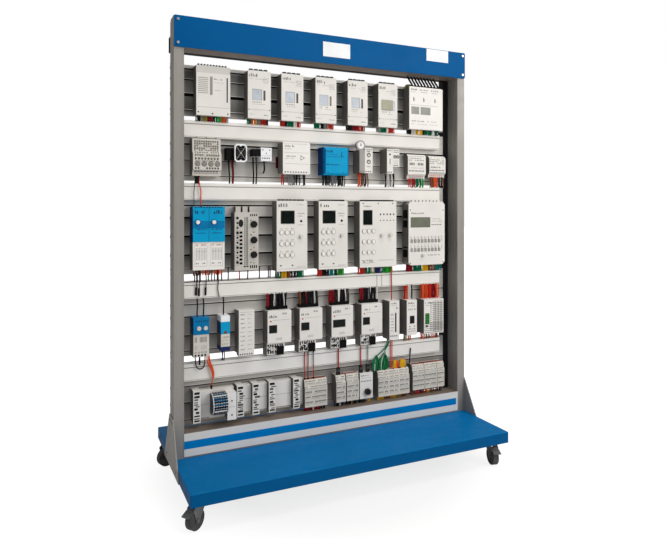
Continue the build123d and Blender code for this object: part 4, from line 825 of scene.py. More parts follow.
def dress_row_1():
    top = 1717
    g = "row1"
    f = Face(g, -607, top)
    f.plate("band", 0, 0, 140, 29.5)
    bars(ink(g, "mark_soft"), -600, 41, 1604, 69, -17, 9, 0.3, 0.45)
    bars(ink(g, "mark_mid"), -600, 41, 1604, 69, -17, 9, 0.2, 0.2)
    f.plate("mid", 57, 44, 9, 73, 0.4)
    ink(g, "slot").front(-482.5, 5, 1572, 101, -17, 0.25)
    f.words("mark_mid", 72, 50, 34, 6, 5)
    f.plate("mark_soft", 72, 66, 40, 1.2)
    f.words("mark_soft", 74, 96, 30, 4, 8)
    f.plate("mark_soft", 4, 168, 132, 1.4)
    f.screws((8, 190), (66, 194), (130, 192), r=3.2)
    mouths(g, -607, 140, top, -14, 10)
    for i, left in enumerate((-392, -243, -84, 74, 232)):
        f = Face(g, left, top)
        f.words("mark_mid", 6, 14, 40, 13, i + 3)
        for k in range(4):
            f.words("mark_soft", 66, 26 + 7 * k, 26, 4, i + 13 + k)
        f.row("mark_mid", 8, 34, 80, 3, 12, 0.3, skip=0.3, seed=i)
        f.frame("mark_soft", 20, 79, 40, 44, 1.4)
        if i == 4:
            f.y = -19.2
            f.pad("lcd_olive", 16, 76, 60, 46, 1.0, 1.5)
            f.y = None
        if i < 4:
            f.plate("mark_mid", 68, 82, 9, 42)
            f.row("mark_soft", 69, 86, 8, 34, 3, 0.3)
        f.row("mark_mid", 20, 130, 44, 5, 6, 0.35, skip=0.1, seed=i)
        f.row("mark_soft", 20, 140, 56, 3, 9, 0.5, skip=0.2, seed=i)
        f.plate("mark_soft", 9, 164, 82, 1.4)
        f.screws((5, 165), (95, 165), r=2.2)
        f.words("mark_mid", 66, 184, 26, 4, i + 53)
        f.words("mark_soft", 8, 182, 20, 3, i + 63)
        mouths(g, left, 101, top, -17, 4)
    f = Face(g, 399, top)
    for dx, w in ((8, 36), (62, 42), (124, 40)):
        f.words("mark_mid", dx, 10, w, 7, dx)
        f.words("mark_soft", dx + 2, 22, w - 8, 5, dx + 1)
    for dx in (22, 78, 142):
        f.plate("mark_mid", dx, 50, 4, 20)
        f.plate("mark_soft", dx + 6, 54, 3, 15)
    f.plate("mark_soft", 8, 86, 152, 1.4)
    f.frame("mark_soft", 12, 96, 42, 34, 1.2)
    f.frame("mark_soft", 64, 96, 54, 34, 1.2)
    f.pad("lcd_mid", 12.3, 96.3, 41.4, 33.4, 0.4, 1.2)
    f.pad("lcd_mid", 64.3, 96.3, 53.4, 33.4, 0.4, 1.2)
    f.words("mark_mid", 14, 160, 70, 6, 73)
    f.words("mark_soft", 100, 160, 60, 5, 74)
    f.row("mark_soft", 12, 176, 150, 3, 18, 0.5, skip=0.2)
    mouths(g, 399, 183, top, -17, 8)
    for i in range(9):
        x = 426 + i * 18.5
        strand("black", [(x, -4, 1717), (x - 1, 2, 1732), (x - 5, 18, 1752), (x - 6, 34, 1775)], 4.4)
    for i in range(4):
        strand("olive", [(404 + i * 4, -2, 1720), (400 + i * 5, 2, 1730), (392 + i * 6, 8, 1722 + i * 2),
                         (388 + i * 4, 16, 1708)], 2.0)
    looms = (
        (-607, 140, "black 2, grey 1, olive 2, crimson 2, dgreen 2, bright 2, orange 2, black 1"),
        (-392, 101, "green 2, orange 1, yellow 1, grey 2, red 2, black 1"),
        (-243, 101, "red 2, black 1, green 3, pale 1, red 2"),
        (-84, 101, "green 3, black 2, grey 2, orange 1, red 2"),
        (74, 101, "black 3, crimson 3, red 3, black 1"),
        (232, 101, "grey 2, green 3, pale 1, red 3"),
        (399, 183, "black 2, pale 2, yellow 3, black 1, green 4, pale 1, dgreen 2"),
    )
    for i, (left, width, bands) in enumerate(looms):
        loom(left + 2, left + width - 4, 1518, 1492, 6, bands, 4.6, 2.3, seed=i + 3)
        loom(left + 4, left + width - 6, 1518, 1492, 16, bands, 4.8, 2.3, seed=i + 30)


# Row 2


def dress_row_2():
    g = "row2"
    f = Face(g, -622, 1420)
    for k in range(7):
        f.row("dark", 8, 8 + k * 9.5, 102, 5.6, 11, 0.6, skip=0.12, seed=k)
        f.row("mark_mid", 8, 14.4 + k * 9.5, 102, 1.8, 14, 0.6, skip=0.3, seed=k + 20)
    f.row("mark", 8, 78, 102, 8, 8, 0.5)
    f.words("mark_mid", 10, 88, 94, 5, 9)
    for k in range(4):
        f.ring("mark", 18 + 27 * k, 103, 11, 8.6, 0.5)
        f.dot("mark_mid", 18 + 27 * k, 103, 6.8, 1.2, 22)
        f.dot("mid", 18 + 27 * k, 103, 4.8, 1.6, 22)
    f.row("dark", 8, 117, 102, 7, 9, 0.55, skip=0.1)
    f.row("mark", 8, 128, 100, 7, 8, 0.62)
    f.row("mark_mid", 8, 139, 100, 3, 16, 0.5)
    for x in (-606, -566, -526):
        Face(g, 0, 0, -12).dot("mark_mid", x, -1425, 2.4)
    for x in (-606, -600, -594):
        strand("black", [(x, 4, 1270), (x - 1, 1, 1262), (x + 1, 3, 1247), (x, 10, 1238)], 3.2)
    guard = ink(g, "label")
    guard.rounded(-450, 54, 1329, 76, -18, 1.6, 12, 6)
    dark = ink(g, "dark")
    dark.rounded(-445.5, 45, 1343, 50, -19.6, 0.5, 16, 8)
    for x in (-433, -413):
        for z in (1347, 1387):
            dark.disc(x, z, -19.6, 11.5, 0.6, 24)
    mid = ink(g, "mark_soft")
    for angle in (52, 128, 232, 308):
        a = math.radians(angle)
        end = (FAN_X + 33 * math.cos(a), -21, FAN_Z + 36 * math.sin(a))
        mid.tube([(FAN_X, -21, FAN_Z), end], 0.9, 8)
    rings = ink(g, "mark_mid")
    for radius in (11, 19):
        rings.hoop(FAN_X, FAN_Z, -20.2, radius + 0.5, radius - 0.5, 0.6, 30, 0.85)
    mid.disc(FAN_X, FAN_Z, -20.4, 4, 1.6, 20)
    for x in (-446, -400):
        for z in (1334, 1400):
            ink(g, "mark_soft").disc(x, z, -19.6, 2.2, 0.8, 12)
    strand("black", [(-466, 12, 1340), (-466, 10, 1310), (-463, 10, 1275), (-462, 14, 1238)], 3.4)
    strand("crimson", [(-454, 12, 1340), (-453, 9, 1310), (-450, 9, 1275), (-451, 14, 1238)], 2.6)
    strand("black", [(-449, 12, 1340), (-448, 9, 1310), (-446, 9, 1275), (-447, 14, 1238)], 3.0)
    cover(g, "dark", -366, -330, 0, 1357, 1388, 39, 0.4)
    f = Face(g, -330, 1396)
    f.screws((9, 10), (40, 10), (24, 24), r=2.6)
    f.row("mark", 6, 42, 38, 6, 5, 0.5)
    f.plate("mark_soft", 4, 34, 42, 1.2)
    strand("black", [(-360, 14, 1358), (-361, 10, 1320), (-358, 10, 1275), (-359, 14, 1238)], 3.4)
    strand("black", [(-347, 14, 1358), (-346, 10, 1320), (-345, 10, 1275), (-347, 14, 1238)], 3.4)
    strand("black", [(-312, 12, 1341), (-312, 8, 1322), (-310, 10, 1297), (-309, 30, 1290)], 3.8)
    Face(g, -250, 1362).plate("crimson", 0, 2, 3, 46, 5)
    Face(g, -250, 1362).plate("dark", 3, 0, 6, 50, 7)
    f = Face(g, -240, 1422)
    f.words("mark_mid", 10, 12, 44, 9, 21)
    f.words("mark_soft", 10, 26, 34, 5, 22)
    f.row("mark_soft", 8, 6, 108, 2.5, 12, 0.4)
    f.plate("mark_soft", 8, 44, 110, 1.2)
    f.plate("mark_soft", 8, 92, 110, 1.2)
    ink(g, "mark_mid").disc(-152, 1356, -26, 13, 0.4, 3)
    ink(g, "case_white").disc(-152, 1356, -26.2, 9, 0.4, 3)
    f.words("mark_mid", 12, 58, 50, 5, 23)
    f.words("mark_soft", 12, 68, 40, 4, 24)
    f.row("mark", 8, 126, 110, 5, 9, 0.45)
    f = Face(g, -48, 1409)
    f.words("navy", 10, 14, 40, 10, 32)
    f.words("cyan_deep", 10, 30, 56, 5, 33)
    f.plate("navy", 12, 42, 86, 1.2)
    f.plate("navy", 86, 20, 3, 22)
    f.plate("cyan_deep", 82, 36, 14, 2)
    f.words("navy", 12, 74, 70, 6, 34)
    f.dot("navy", 96, 112, 2.4)
    f.dot("navy", 20, 112, 2.4)
    for left, width, high, low in ((129, 26, 1403, 1299), (156, 40, 1414, 1299), (272, 33, 1414, 1299),
                                   (305, 34, 1415, 1331)):
        f = Face(g, left, high)
        f.words("mark_mid", 3, 5, width - 6, 5, left)
        f.plate("mark_soft", 2, 14, width - 4, 1)
        f.row("mark", 3, high - low - 9, width - 6, 5, 3, 0.5)
    cover(g, "case_grey", 129, 155, -26, 1299, 1403, skin=0.3)
    f = Face(g, 156, 1414)
    for dz in (33, 64):
        f.ring("mark", 20, dz, 9.5, 6.4, 1.0)
        f.plate("mark", 19.2, dz - 7, 1.6, 7, 1.0)
    f.row("mark", 10, 14, 20, 5, 3, 0.5)
    f.row("mark_mid", 10, 84, 20, 4, 4, 0.5)
    dial = Face(g, 135.5, 1424)
    dial.ring("mid", 0, 0, 22, 18, 0.8)
    dial.dot("label", 0, 0, 14, 0.6, 26)
    dial.dot("mark_soft", 0, 0, 4.5, 1.4, 16)
    for k in range(12):
        a = math.radians(30 * k)
        dial.plate("mark_mid", 15.8 * math.cos(a) - 0.6, -15.8 * math.sin(a) - 0.6, 1.2, 1.2, 1.0)
    dial.plate("mark", -0.8, -11, 1.6, 11, 1.8)
    f = Face(g, 272, 1414)
    f.dot("mark", 16, 26, 4.5, 0.8, 20)
    f.plate("mark", 15, 46, 3, 26)
    for dx in (42, 58):
        f.ring("mark", dx, 36, 8.2, 6.2, 0.8)
        f.dot("mark_soft", dx, 36, 4.8, 1.4, 22)
        f.plate("mark", dx - 0.7, 31, 1.4, 6, 1.8)
    f.words("mark_mid", 37, 12, 26, 5, 6)
    f.words("mark_soft", 37, 54, 26, 4, 7)
    f.words("mark_soft", 37, 64, 22, 4, 8)
    f = Face(g, 402, 1396)
    for k in range(3):
        f.row("mark_mid", 6, 8 + 9 * k, 88, 4, 10, 0.5, skip=0.15, seed=k)
    f.row("mark", 10, 40, 30, 12, 4, 0.55)
    f.row("mark", 56, 40, 34, 12, 4, 0.55)
    f.words("mark_soft", 8, 62, 84, 5, 41)
    f.row("mark", 6, 76, 88, 6, 11, 0.55)
    f.row("red", 8, 98, 84, 7, 8, 0.5)
    f.row("mark_mid", 6, 109, 88, 4, 12, 0.5)
    f = Face(g, 524, 1392)
    for k in range(4):
        f.row("mark_mid", 5, 7 + 9 * k, 84, 4, 10, 0.5, skip=0.2, seed=k + 9)
    f.words("mark", 8, 50, 60, 7, 42)
    f.row("mark", 5, 66, 84, 6, 10, 0.55)
    f.row("mark_mid", 5, 78, 84, 4, 12, 0.5)
    f.row("orange", 8, 90, 78, 7, 7, 0.5)
    looms = (
        (-240, 126, 1285, "red 1, gap 2, grey 2, black 3, gap 1, black 2"),
        (-48, 126, 1285, "black 4, grey 3, black 4"),
        (129, 66, 1299, "orange 3, brown 2, black 3, brown 2"),
        (272, 66, 1299, "black 2, pale 2, black 2, pale 1, black 2"),
        (402, 101, 1279, "red 3, crimson 2, green 4, bright 2"),
        (524, 94, 1288, "brown 3, orange 4, black 3, brown 2"),
    )
    for i, (left, width, high, bands) in enumerate(looms):
        loom(left + 5, left + width - 5, high + 2, 1237, 10, bands, 6.0, 2.6, seed=i + 60, sway=6)


# Row 3


def round_keys(g, f, legend):
    """Caps, rims and edge shadows on three by three round keys, with a line of marks under each when legend
    is set.
    """
    for i in range(3):
        for j in range(3):
            dx = KEY_LEFT + KEY_STEP_X * i
            x = f.left + dx
            z = KEY_LOW + KEY_STEP_Z * j
            rim = surface(x + 12, z)
            ink(g, "mark_soft").hoop(x, z, rim, 11.4, 9.8, 0.6, 22)
            if legend:
                f.words("mark_mid", dx - 7, f.top - z - 18.5, 14, 3.5, i * 3 + j)
            ink(g, "case_white").disc(x, z, surface(x, z), 9.2, 1.4, 26, 0.95, 0.8)
            ink(g, "mark_soft").box(x - 9.6, x - 7.4, rim - 1.2, -17.6, z - 5, z + 6)


def dress_row_3():
    g = "row3"
    cover(g, "cyan", -621, -491, -21, 1001, 1144, skin=0.3)
    f = Face(g, -621, 1144, -21.3)
    f.plate("cyan_deep", 1, 58, 128, 30, 0.2)
    f.words("navy", 8, 14, 40, 15, 51)
    f.words("navy", 84, 14, 40, 15, 52)
    f.words("navy", 10, 88, 50, 7, 53)
    f.words("navy", 76, 88, 44, 7, 54)
    f.words("navy", 10, 104, 40, 5, 55)
    f.words("navy", 76, 104, 40, 5, 56)
    f.plate("navy", 64, 0, 1.2, 143, 0.4)
    for x in (-601.5, -535.5):
        ink(g, "label").disc(x, 1081, -23.0, 8, 3.0, 26, 1, 1.0)
        ink(g, "navy").hoop(x, 1081, -21.5, 12, 10.6, 0.4, 26)
    for left in (-612, -548):
        f = Face(g, left, 995)
        f.frame("mark_soft", 0, 0, 48, 92, 1.0)
        f.row("red", 3, 4, 42, 5, 8, 0.5, skip=0.2)
        for k in range(7):
            f.plate("mark_mid", 5 + 6.4 * k, 18, 1.2, 50)
        f.words("mark_soft", 8, 30, 34, 4, left)
        f.row("mark_mid", 4, 78, 40, 5, 6, 0.5, skip=0.2)
    f = Face(g, -621, 1144)
    f.row("slot", 8, 1, 114, 4, 10, 0.55, 0.6)
    f = Face(g, -449, 1121)
    for k in range(10):
        f.dot("mark", 12, 24 + 20.5 * k, 4.6 if k % 3 else 6.0, 1.2)
        f.words("mark_mid", 4, 34 + 20.5 * k, 14, 3.5, k)
    f.dot("mark", 27, 46, 16, 0.5, 26, 0.62)
    f.plate("mark_soft", 38, 14, 24, 218, 0.4)
    for k in range(28):
        f.plate("dark", 39, 18 + 7.6 * k, 8, 5.2, 1.8)
        f.plate("dark", 51, 18 + 7.6 * k, 8, 5.2, 1.8)
    for k in range(9):
        f.plate("dark", 21, 80 + 16 * k, 12, 9, 1.2)
    f.row("dark", 66, 8, 34, 8, 4, 0.6)
    f.row("dark", 66, 222, 34, 12, 4, 0.6)
    for dz in (34, 94, 156, 210):
        f.dot("dark", 70, dz, 2.6)
    for z in (1070.5, 1004.5, 943):
        ink(g, "mark").hoop(-366, z, -18, 14.5, 11.8, 0.4, 28)
        for k in range(9):
            a = math.radians(-40 + 32.5 * k)
            ink(g, "mark").disc(-366 + 17.2 * math.cos(a), z + 17.2 * math.sin(a), -18, 0.9, 0.3, 8)
    for z in (1037, 973, 908):
        f.dot("mark_mid", 83, 1121 - z, 2.6, 1.0)
    for left in (-265, -69):
        f = Face(g, left, ROW_3_TOP)
        f.words("mark_mid", 8, 12, 42, 15, left)
        f.words("mark_soft", 92, 14, 34, 5, left + 1)
        f.frame("mark_mid", 20, 44, 60, 54, 2.0)
        f.pad("screen", 20.3, 44.3, 59.4, 53.4, 0.4, 1.5)
        f.words("lcd_dim", 26, 56, 46, 5, left + 2)
        f.words("lcd_dim", 26, 70, 38, 5, left + 3)
        f.words("mark_mid", 94, 52, 34, 5, left + 4)
        f.words("mark_mid", 94, 64, 28, 4, left + 5)
        f.dot("mark", 112, 88, 7, 0.4, 4)
        f.words("mark_soft", 96, 102, 30, 4, left + 9)
        for k in range(9):
            a = math.radians(-45 + 33.75 * k)
            f.dot("mark_soft", 111 + 20 * math.cos(a), 154 - 20 * math.sin(a), 0.9, 0.3, 8)
        round_keys(g, f, True)
        f.plate("mark", 15, 276, 7, 5, 1.0)
        f.plate("mark", 68, 276, 7, 5, 1.0)
        f.words("mark_soft", 92, 284, 40, 5, left + 6)
        f.plate("mark_soft", 6, 292, 130, 1.2)
        mouths(g, left, 141, ROW_3_TOP, -18, 7)
    f = Face(g, 134, ROW_3_TOP)
    f.frame("mark_mid", 19, 42, 45, 65, 2.0)
    f.pad("screen", 19.3, 42.3, 44.4, 64.4, 0.4, 1.5)
    f.words("lcd_dim", 24, 54, 32, 5, 81)
    f.words("lcd_dim", 24, 68, 28, 5, 82)
    f.words("lcd_dim", 24, 82, 34, 5, 83)
    f.words("mark_mid", 14, 20, 46, 6, 84)
    for j in range(2):
        for i in range(5):
            f.dot("mark", 108 + 17.5 * i, 60 + 28 * j, 4.4 - 1.4 * j, 1.4, 14, 0.7)
    for dx in (18, 96, 174):
        f.screws((dx, 10), r=3)
    round_keys(g, f, False)
    f.dot("mark_soft", 22, 276, 6, 0.4, 20)
    f.row("mark_soft", 50, 271, 22, 10, 2, 0.6)
    f.words("mark_mid", 12, 268, 54, 5, 85)
    f.words("mark_soft", 12, 280, 66, 4, 86)
    f.row("mark_soft", 100, 270, 80, 4, 9, 0.5)
    mouths(g, 134, 193, ROW_3_TOP, -18, 9)
    f = Face(g, 394, 1140)
    f.frame("mark_mid", 14, 47, 106, 44, 2.2)
    f.pad("lcd_dim", 14.3, 47.3, 105.4, 43.4, 0.4, 1.5)
    for k in range(4):
        f.words("mark_mid", 20, 52 + 9 * k, 90 - 16 * (k % 2), 5, 91 + k)
    f.words("mark_mid", 16, 22, 70, 7, 95)
    f.words("mark_soft", 130, 50, 50, 5, 96)
    f.words("mark_soft", 130, 62, 60, 5, 97)
    f.row("mark", 130, 78, 60, 5, 6, 0.5)
    for i in range(9):
        for dz, z in ((200, 940), (158, 982)):
            x = 394 + 17 + 19.5 * i
            if x < 588:
                ink(g, "mark_mid").rounded(x - 6, 12, z - 8, 16, surface(x, z), 0.5, 2.5)
                ink(g, "mark_soft").rounded(x - 4.5, 9, z - 6.5, 13, surface(x, z) - 0.5, 0.5, 2.0)
                f.words("mark_soft", 17 + 19.5 * i - 6, dz - 16, 12, 3, i)
    f.words("mark_mid", 110, 224, 70, 5, 98)
    f.screws((10, 10), (196, 10), (10, 262), (196, 262), r=2.8)
    for low, high in ((905, 940), (948, 955), (1046, 1080), (1090, 1130)):
        ink(g, "dark").box(393.4, 399, -8, 30, low, high)
    mouths(g, 406, 182, 1149, -18, 8)
    looms = (
        (-265, 141, "dgreen 3, yellow 2, brown 2, black 3, green 3"),
        (-69, 141, "red 2, black 3, teal 3, black 1, bright 3"),
        (134, 193, "red 3, green 3, olive 2, navy 3, bright 4, orange 1"),
        (394, 206, "crimson 3, green 4, yellow 3, brown 3, teal 3"),
    )
    for i, (left, width, bands) in enumerate(looms):
        loom(left, left + width - 8, 869, 836, 4, bands, 4.6, 2.3, seed=i + 80)
        loom(left + 4, left + width - 10, 869, 836, 14, bands, 4.8, 2.3, seed=i + 85)
    loom(-618, -494, 889, 864, 8, "brown 2, orange 2, brown 1, orange 2", 9, 3.2, 90)
    loom(-614, -498, 870, 837, 12, "black 2, gap 1, black 2, gap 1", 11, 2.4, 91)
    strand("red", [(-420, 12, 880), (-421, 10, 864), (-419, 12, 837)], 2.4)
    strand("black", [(-384, 12, 880), (-383, 10, 864), (-385, 12, 837)], 2.6)
    for x, low in ((-604, 790), (-592, 786), (-565, 788)):
        strand("black", [(x, -2, 889), (x + 1, -6, 860), (x + 2, 3.0, 820), (x, 3.4, low)], 2.2)
        ink(g, "dark").tube([(x, 3.6, low - 6), (x + 1, 3.4, low + 26)], 4.0, 12)
    for x in (-512, -494, -466, -330, -290, -282):
        strand("black", [(x, 20, 889), (x, 18, 862), (x, 20, 837)], 2.6)
    strand("black", [(-514, 6, 889), (-513, -2, 862), (-512, 3.2, 830), (-516, 3.4, 800),
                     (-508, 3.4, 772)], 2.0)


# Row 4


def dress_row_4():
    g = "row4"
    cover(g, "cyan_deep", -620, -557, -28, 629, 696, skin=0.3)
    f = Face(g, -620, 696, -28.4)
    f.words("navy", 6, 10, 22, 6, 101)
    f.words("navy", 36, 10, 22, 6, 102)
    f.plate("navy", 31, 0, 1.0, 67, 0.3)
    for x in (-598.5, -571.5):
        ink(g, "label").disc(x, 654, -29, 8.5, 2.6, 24, 1, 0.8)
    f = Face(g, -620, 627)
    f.row("mark_mid", 6, 8, 50, 22, 10, 0.45, skip=0.15)
    f.row("mark_soft", 6, 42, 50, 18, 8, 0.4, skip=0.2)
    f.row("mark_soft", 4, 66, 54, 8, 4, 0.7)
    f.row("slot", 5, 78, 52, 8, 4, 0.55)
    cover(g, "label", -508, -471, -25, 672, 696, skin=0.3)
    cover(g, "cyan", -508, -471, -25, 622, 672, skin=0.3)
    cover(g, "navy", -508, -471, -25, 553, 570, skin=0.3)
    f = Face(g, -508, 696)
    f.y = -25.3
    f.plate("brown", 12, 62, 13, 10, 0.5)
    f.y = None
    f.words("navy", 6, 54, 24, 5, 103)
    f.words("mark_mid", 6, 84, 26, 5, 104)
    f.words("mark_soft", 6, 96, 24, 4, 105)
    f.row("mark_soft", 4, 112, 28, 5, 3, 0.5)
    f = Face(g, -433, 714)
    for k in range(9):
        f.words("mark_mid", 8, 16 + 18 * k, 18, 5, 110 + k)
        f.words("mark_soft", 38, 16 + 18 * k, 20, 5, 130 + k)
    f.plate("mark_soft", 4, 8, 58, 1.4)
    f.row("mark", 4, 180, 58, 6, 6, 0.5)
    for i, (left, width) in enumerate(zip((-308, -162, -10, 140), (33, 36, 59, 33))):
        f = Face(g, left, 702)
        f.words("mark_mid", 8, 18, 36, 12, 140 + i)
        f.words("mark_mid", 66, 10, 22, 8, 144 + i)
        f.dot("red", 14, 44, 3.6, 0.5, 14)
        f.plate("mark_soft", 22, 40, 76, 1.4)
        f.frame("mark_mid", 8, 62, width, 32, 1.6)
        f.pad("screen", 8.3, 62.3, width - 0.6, 31.4, 0.4, 1.5)
        f.words("lcd_dim", 12, 68, width - 8, 7, 152 + i)
        f.words("lcd_dim", 12, 80, width - 14, 5, 156 + i)
        for dx in (44, 58):
            f.ring("mark_mid", dx, 121, 5.2, 4.0, 0.4)
        f = Face(g, left, 564)
        f.row("slot", 3, 6, 74, 10, 7, 0.55, 0.4)
        f.row("mark_soft", 3, 20, 74, 8, 7, 0.62, 0.6)
        f.row("slot", 3, 32, 74, 14, 7, 0.6, 0.5)
        f.plate("mark_mid", 0, 50, 80, 3, 0.4)
        rng = random.Random(i + 50)
        for k in range(30):
            f.plate(rng.choice(("slot", "slot", "dark", "label", "mark_mid")), rng.uniform(1, 70),
                    rng.uniform(2, 44), rng.uniform(3, 9), rng.uniform(3, 9), rng.uniform(0.4, 1.6))
        ink(g, "dark").box(left + 44, left + 74, -22, -14, 512, 548)
        ink(g, "dark").box(left + 8, left + 100, 2, 26, 701, 716)
    f = Face(g, 286, 706)
    f.words("mark", 6, 8, 30, 7, 170)
    f.words("mark_soft", 6, 20, 36, 4, 171)
    f.dot("mark_mid", 40, 34, 6, 0.4, 3)
    f.plate("slot", 30, 56, 7, 90, 0.4)
    f.row("mark_mid", 8, 60, 16, 4, 2, 0.6)
    for k in range(6):
        f.words("mark_mid", 7, 66 + 14 * k, 16, 4, 172 + k)
    f.row("mark", 5, 160, 42, 6, 4, 0.5)
    f = Face(g, 380, 704)
    f.words("mark", 7, 10, 36, 8, 180)
    f.words("mark_soft", 7, 24, 40, 5, 181)
    f.dot("mark_mid", 44, 44, 5, 0.4, 3)
    f.row("mark_soft", 7, 40, 28, 8, 3, 0.6)
    f.frame("mark_mid", 18, 76, 23, 34, 1.6)
    f.pad("screen", 18.3, 76.3, 22.4, 33.4, 0.4, 1.5)
    f.words("lcd_mid", 21, 84, 16, 6, 182)
    for dx in (14, 40):
        f.plate("mark", dx, 122, 5, 5, 0.8)
    f.plate("crimson", 6, 146, 44, 1.6)
    f.words("mark_mid", 7, 134, 42, 5, 183)
    f = Face(g, 476, 701)
    f.words("mark", 8, 12, 46, 8, 184)
    f.words("mark_soft", 8, 26, 60, 4, 185)
    f.pad("screen_green", 7, 66, 24, 52, 1.0, 5)
    for k in range(6):
        f.plate("bright", 9, 70 + 8 * k, 20, 4, 1.4)
    f.dot("mark", 16, 128, 4.4, 1.0, 20, 1.4)
    f.plate("case_grey", 42, 14, 69, 144, 0.35)
    for k in range(15):
        f.plate("mark_mid", 43, 18 + 9 * k, 68, 1.4, 0.6)
        f.plate("mark", 37, 19 + 9 * k, 4, 4, 0.5)
    ribs = ink(g, "mark_mid")
    for k in range(6):
        z = 536 + 9 * k
        ribs.front(478, 108, z + 5.2, 2.2, surface(530, z + 6.3), 0.3)
    loom_rows = (
        (-308, 106, 700, "crimson 2, black 3, pale 1, black 4, pale 1, black 2"),
        (-162, 106, 700, "brown 2, black 3, crimson 1, black 4, pale 1, black 2"),
        (-10, 106, 700, "crimson 3, black 3, pale 1, black 3, pale 1, black 2"),
        (140, 106, 700, "crimson 2, black 4, pale 1, black 3, pale 1"),
        (380, 56, 702, "red 2, orange 2, pale 2, black 1"),
        (476, 112, 699, "orange 3, red 3, crimson 2, orange 2"),
    )
    for i, (left, width, low, bands) in enumerate(loom_rows):
        loom(left + 6, left + width - 6, 772, low, 10, bands, 6.4, 2.9, seed=i + 100, sway=6)
        loom(left + 8, left + width - 8, 772, low, 20, bands, 6.0, 2.8, seed=i + 104, sway=6)
    for x in (-598, -572):
        strand("black", [(x, 10, 695), (x - 1, 6, 720), (x + 2, 8, 745), (x, 14, 772)], 2.8)
    strand("black", [(-489, 10, 695), (-490, 6, 722), (-488, 8, 748), (-489, 14, 772)], 2.8)
    strand("black", [(-589, 3, 540), (-590, 2, 522), (-589, 3, 500)], 4.0)
    for shift in (5.5, 10.5):
        strand("orange", [(-560 + shift, 3, 538), (-559 + shift, 2.6, 512), (-547 + shift, -3, 484),
                          (-537 + shift * 0.6, -3, 456), (-538 + shift * 0.5, 2, 440)], 2.4)
    low_looms = (
        (-502, 26, 554, "navy 1, black 2"),
        (-308, 80, 511, "black 2, pale 1, gap 1, black 1, grey 1"),
        (-162, 80, 511, "red 1, gap 2, crimson 1, gap 1, grey 1"),
        (-10, 80, 511, "black 1, gap 2, pale 1, black 1"),
        (140, 80, 511, "black 2, gap 1, black 1, grey 1"),
        (380, 56, 539, "olive 2, brown 2, orange 2"),
        (476, 112, 533, "orange 2, brown 2, orange 2, brown 1"),
    )
    for i, (left, width, high, bands) in enumerate(low_looms):
        loom(left + 5, left + width - 5, high, 503, 17, bands, seed=i + 110, sway=3)


# Row 5


def block_marks(g, left, width, high, seed):
    """A terminal block's rows of small marks."""
    f = Face(g, left, high)
    count = max(3, int(width / 6.5))
    for k in range(5):
        f.row("mark", 3, 6 + 22 * k, width - 6, 6, count, 0.58, skip=0.1, seed=seed + k)
        f.row("mark_mid", 3, 15 + 22 * k, width - 6, 2.4, count + 2, 0.5, skip=0.2, seed=seed + k)
        f.plate("mark_soft", 2, 21 + 22 * k, width - 4, 0.9)


